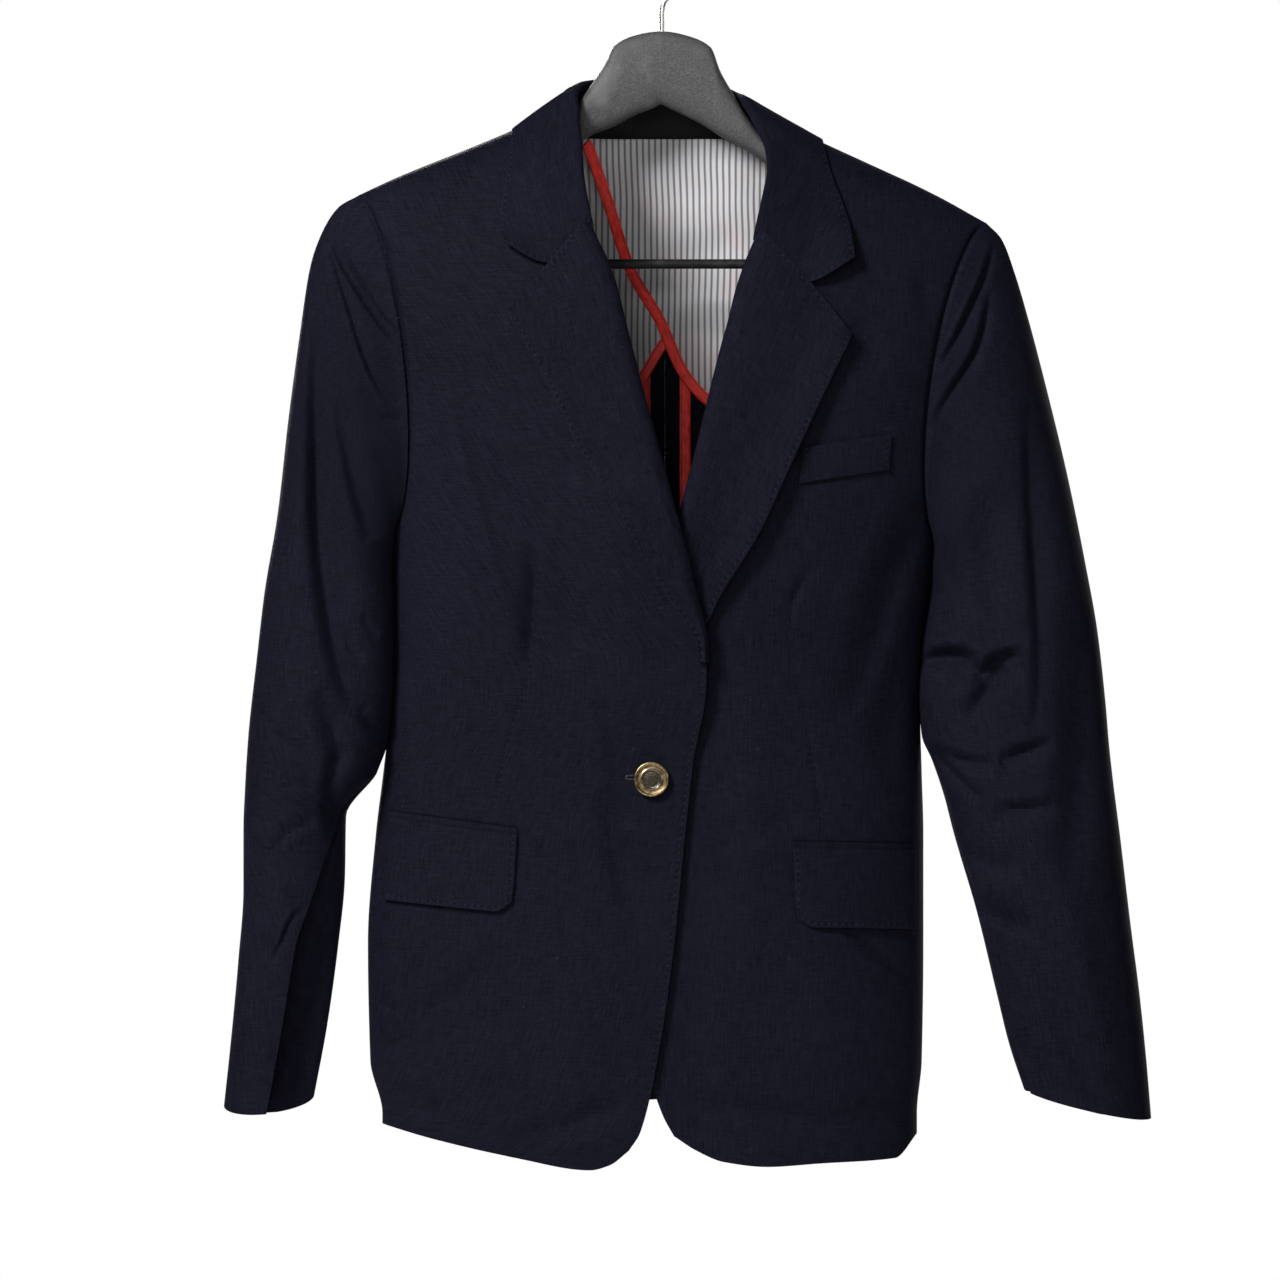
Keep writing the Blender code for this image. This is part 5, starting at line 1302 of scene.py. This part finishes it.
def patch_grid(tree, corners, side, gap, columns, rows, rounded=False):
    """A four-cornered piece laid on a front: its points are the front's, moved out."""
    (ax, az), (bx, bz), (cx, cz), (dx, dz) = corners
    u, v = np.linspace(0, 1, columns)[None, :], np.linspace(0, 1, rows)[:, None]
    x = mix(mix(ax, bx, u), mix(dx, cx, u), v)
    z = mix(mix(az, bz, u), mix(dz, cz, u), v)
    if rounded:
        near = np.maximum(0.0, 1 - u / FLAP_CORNER_SHARE)
        z = z + FLAP_CORNER * near * near * smooth((v - 0.6) / 0.4)
    puff = np.sin(np.pi * u) ** 0.4 * np.sin(np.pi * np.minimum(v, 0.85)) ** 0.5 * PUFF[rounded]
    return laid_on(tree, x, z, gap + puff, side)


def jacket(finishes):
    """All cut pieces of the jacket, each over its solid."""
    fronts = {side: front_grid(side) for side in SIDES}
    trees = {side: faces_tree(grid) for side, grid in fronts.items()}
    backs = {side: back_grid(side) for side in SIDES}
    back_tree = faces_tree(np.concatenate([backs["right"][:, ::-1], backs["left"][:, 1:]], axis=1))

    def sewn(node, points, thickness, finish, rests_on, **options):
        look = finishes[finish], CLOTH_SLOTS[finish]
        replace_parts(cloth(f"cloth_{node}", points, thickness, *look, rests_on, **options), node)

    for side in SIDES:
        tree, front, back = trees[side], f"cloth_front_{side}", f"cloth_back_{side}"
        sewn(f"front_{side}", fronts[side], CLOTH, "navy", "hanger_arms", edges=("first",),
             lines=(DARTS[side],))
        sewn(f"back_{side}", backs[side], CLOTH, "navy", "hanger_arms", outward=backward)
        upper, under = sleeve_grids(side)

        def away(middles):
            """From the sleeve's middle line, which is read at each row's height."""
            table = SLEEVES[side]
            level = (middles[..., 2].mean(axis=1) + 160) / -570
            x = table.at("out_x", level) / 2 + table.at("in_x", level) / 2
            return middles * (1, 1, 0) - xyz(x, table.at("middle_y", level), 0)[:, None, :]

        sewn(f"upper_sleeve_{side}", upper, CLOTH, "navy", front, outward=away)
        sewn(f"under_sleeve_{side}", under, CLOTH, "navy", back, outward=away)
        sewn(f"lapel_{side}", lapel_grid(side, tree), DOUBLE_CLOTH, "navy", front, edges=("last", "top"),
             grain=following)
        sewn(f"lining_{side}", lining_grid(side, back_tree), LINING, "striped", back, grain=hanging)
        sewn(f"lining_binding_{side}", lining_binding_grid(side, back_tree), BINDING_CLOTH, "red",
             f"cloth_lining_{side}", edges=("top",), grain=following)
        sewn(f"allowance_{side}", allowance_grid(side, back_tree), LINING, "navy", back)
        sewn(f"allowance_binding_{side}", allowance_binding_grid(side, back_tree), BINDING_CLOTH, "red",
             f"cloth_allowance_{side}", edges=("top",), grain=following)
        jet = patch_grid(tree, JETS[side], side, 1.1, 60, 10)
        # The jets' seamed edges carry painted shade
        sewn(f"pocket_jet_{side}", jet, JET_CLOTH, "shaded_seam", front, edges=("bottom", "top"))
        flap = patch_grid(tree, FLAPS[side], side, 2.8, 70, 44, True)
        sewn(f"pocket_flap_{side}", flap, DOUBLE_CLOTH, "navy", front, edges=("first", "top"))
    welt = patch_grid(trees["left"], CHEST_WELT, "left", 2.2, 50, 24)
    sewn("chest_welt", welt, DOUBLE_CLOTH, "navy", "cloth_front_left", edges=("first", "last"))
    sewn("collar", collar_grid(), DOUBLE_CLOTH, "navy", "cloth_back_right", outward=out_of_neck,
         edges=("last", "bottom", "top"), grain=following)
    sewn("collar_stand", stand_grid(), CLOTH, "navy", "cloth_collar", outward=into_neck, grain=following)
    sewn("neck_facing", neck_facing_grid(back_tree), LINING, "black", "cloth_back_right", grain=following)
    return trees


# ---- Button, buttonhole and hanger ----


def button(finishes):
    """The button: a turned ring round a dark polished disc; the ring is left plain."""
    face = float(front_depth(BUTTON_X, BUTTON_Z, "right"))
    angles = full_turn(BUTTON_SIDES)
    rings = [
        xyz(BUTTON_X + radius * np.cos(angles), -face - BUTTON_OUT - out, BUTTON_Z + radius * np.sin(angles))
        for radius, out in BUTTON_PROFILE
    ]
    made = tube("turned_button", rings, finishes["bronze"])
    made.data.materials.append(finishes["disc"])
    disc_from = next(i for i, (radius, _) in enumerate(BUTTON_PROFILE) if i > 9 and radius < DISC_RADIUS)
    back_face = (len(BUTTON_PROFILE) - 1) * BUTTON_SIDES
    for polygon in made.data.polygons:
        if polygon.index >= (disc_from - 1) * BUTTON_SIDES and polygon.index != back_face:
            polygon.material_index = 1
    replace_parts(made, "button")
    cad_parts["button_thread"].data.materials[0] = finishes["thread"]


def buttonhole(tree, finishes):
    """The worked edge of the buttonhole, beside and under the button."""
    turns, around = full_turn(90), full_turn(8)
    half, low = 12.5, 1.3
    x = BUTTON_X - 3.0 + (half - low) * np.clip(np.cos(turns) * 1.6, -1, 1) + low * np.cos(turns)
    z = BUTTON_Z + 1.0 + low * np.sin(turns)
    path = laid_on(tree, x, z, 0.35, "right")
    ahead = unit(np.roll(path, -1, axis=0) - np.roll(path, 1, axis=0))
    across = np.cross(ahead, (0.0, 1.0, 0.0))
    thick = 0.55 * (1 + 0.16 * np.sin(turns * 60))[:, None, None]
    rings = path[:, None, :] + thick * (
        np.cos(around)[None, :, None] * across[:, None, :]
        + np.sin(around)[None, :, None] * np.array((0, 1.0, 0))
    )
    rings = np.concatenate([rings, rings[:1]], axis=0)
    tube("buttonhole_edge", rings, finishes["thread"])


def hanger(finishes):
    """The broad contoured hanger, its bar and its hook."""
    stations = np.linspace(HANGER.keys[0], HANGER.keys[-1], 300)[:, None]
    around = full_turn(56) + 0.02
    cosine, sine = np.cos(around)[None, :], np.sin(around)[None, :]
    top, low, half = (HANGER.at(name, stations) for name in ("top", "low", "half"))
    y = half * np.sign(cosine) * np.abs(cosine) ** 0.62
    z = (top + low) / 2 + (top - low) / 2 * np.sign(sine) * np.abs(sine) ** 0.8
    x = np.broadcast_to(stations, z.shape)
    front = smooth(-y / 4)
    y = y + front * creased(x, z, HANGER_GROOVES)
    y = y - front * 0.22 * bell(x - HANGER_MOULD_LINE_X, 0.9)
    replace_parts(tube("hanger_body", xyz(x, y, z), finishes["plastic"]), "hanger_arms")

    turns = full_turn(20)
    bar_y, bar_z = BAR_RADIUS * np.cos(turns), BAR_Z + BAR_RADIUS * np.sin(turns)
    bar = [xyz(x, bar_y, bar_z) for x in np.linspace(*BAR_ENDS, 40)]
    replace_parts(tube("hanger_rod", bar, finishes["bar"]), "hanger_bar")

    centre_z = HOOK_WIRE / 2 - HOOK_BEND
    angles = np.radians(np.linspace(-12, 205, 40))
    bend = np.stack([HOOK_BEND * np.cos(angles), centre_z + HOOK_BEND * np.sin(angles)], axis=-1)
    stem = smooth_line([*HOOK_STEM, bend[0]], np.linspace(0, 1, 40))
    route = np.concatenate([stem[:-1], bend])
    radius = np.full(len(route), HOOK_WIRE / 2)
    radius[-4:] *= (1.0, 0.96, 0.8, 0.45)
    rings = []
    for (x, z), (dx, dz), r in zip(route, unit(np.gradient(route, axis=0)), radius):
        rings.append(xyz(x - r * dz * np.cos(turns), r * np.sin(turns), z + r * dx * np.cos(turns)))
    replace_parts(tube("hanger_wire", rings, finishes["wire"]), "hanger_hook")


# ---- Studio ----


def studio(floor_finish):
    """Plain pale floor, soft lights and the camera at the photograph's angle."""
    mesh = bpy.data.meshes.new("floor")
    signs = ((-1, -1), (1, -1), (1, 1), (-1, 1))
    mesh.from_pydata([(x * FLOOR_HALF, y * FLOOR_HALF, FLOOR_Z) for x, y in signs], [], [(0, 1, 2, 3)])
    floor = bpy.data.objects.new("floor", mesh)
    floor.data.materials.append(floor_finish)
    bpy.context.scene.collection.objects.link(floor)

    world = bpy.data.worlds.new("studio")
    world.use_nodes = True
    nodes, links = world.node_tree.nodes, world.node_tree.links
    white, soft = nodes["Background"], nodes.new("ShaderNodeBackground")
    for background in (white, soft):
        background.inputs["Color"].default_value = (1.0, 1.0, 1.0, 1.0)
    soft.inputs["Strength"].default_value = ROOM_LIGHT
    path, share = nodes.new("ShaderNodeLightPath"), nodes.new("ShaderNodeMixShader")
    links.new(path.outputs["Is Camera Ray"], share.inputs[0])
    links.new(soft.outputs[0], share.inputs[1])
    links.new(white.outputs[0], share.inputs[2])
    links.new(share.outputs[0], nodes["World Output"].inputs["Surface"])
    bpy.context.scene.world = world
    for name, place, size, power in LIGHTS:
        light = bpy.data.lights.new(name, "AREA")
        light.energy, light.size = power, size
        made = bpy.data.objects.new(name, light)
        made.location = place
        made.rotation_euler = (Vector(LIGHTS_AIM) - made.location).to_track_quat("-Z", "Y").to_euler()
        bpy.context.scene.collection.objects.link(made)

    camera = bpy.data.objects.new("camera", bpy.data.cameras.new("camera"))
    camera.location = [value * MM for value in CAMERA]
    camera.rotation_euler = (math.radians(90), 0, 0)
    camera.data.sensor_width = 36.0
    camera.data.lens = 36.0 * (SCALE_Y - CAMERA[1]) / FRAME_WIDTH
    bpy.context.scene.collection.objects.link(camera)
    bpy.context.scene.camera = camera
    bpy.context.scene.view_settings.view_transform = "Standard"


def main():
    finishes = {
        "navy": navy_cloth("navy_cloth", 1.0, 0.0),
        # The jets' cloth, with painted shade along its seamed edges
        "shaded_seam": navy_cloth("seamed_navy_cloth", 0.0, 0.95),
        "striped": striped_lining(),
        "red": red_binding(),
        "black": black_facing(),
        "thread": sewing_thread(),
        "bronze": bronze(),
        "disc": speckled("dark_disc", (900.0, 4.0, 0.6), (0.55, 0.1), (0.020, 0.016, 0.010),
                         (0.042, 0.034, 0.022), (0.16, 0.14), 0.02, Metallic=0.2, Coat_Weight=0.6,
                         Coat_Roughness=0.06),
        "plastic": hanger_plastic(),
        "wire": speckled("hook_wire", (700.0, 3.0), (0.5, 0.2), (0.50, 0.47, 0.44), (0.66, 0.64, 0.61),
                         (0.18, 0.16), 0.02, Metallic=1.0),
        "bar": speckled("bar_black", (160.0, 4.0), (0.55, 0.1), (0.005, 0.005, 0.005), (0.017, 0.016, 0.016),
                        (0.5, 0.2), 0.08, Specular_IOR_Level=0.15),
    }
    trees = jacket(finishes)
    button(finishes)
    buttonhole(trees["right"], finishes)
    hanger(finishes)
    studio(speckled("studio_floor", (3.0, 2.0), None, (0.90, 0.90, 0.90), (0.92, 0.92, 0.92),
                    (0.8, 0.1), 0.02, Specular_IOR_Level=0.1))


main()
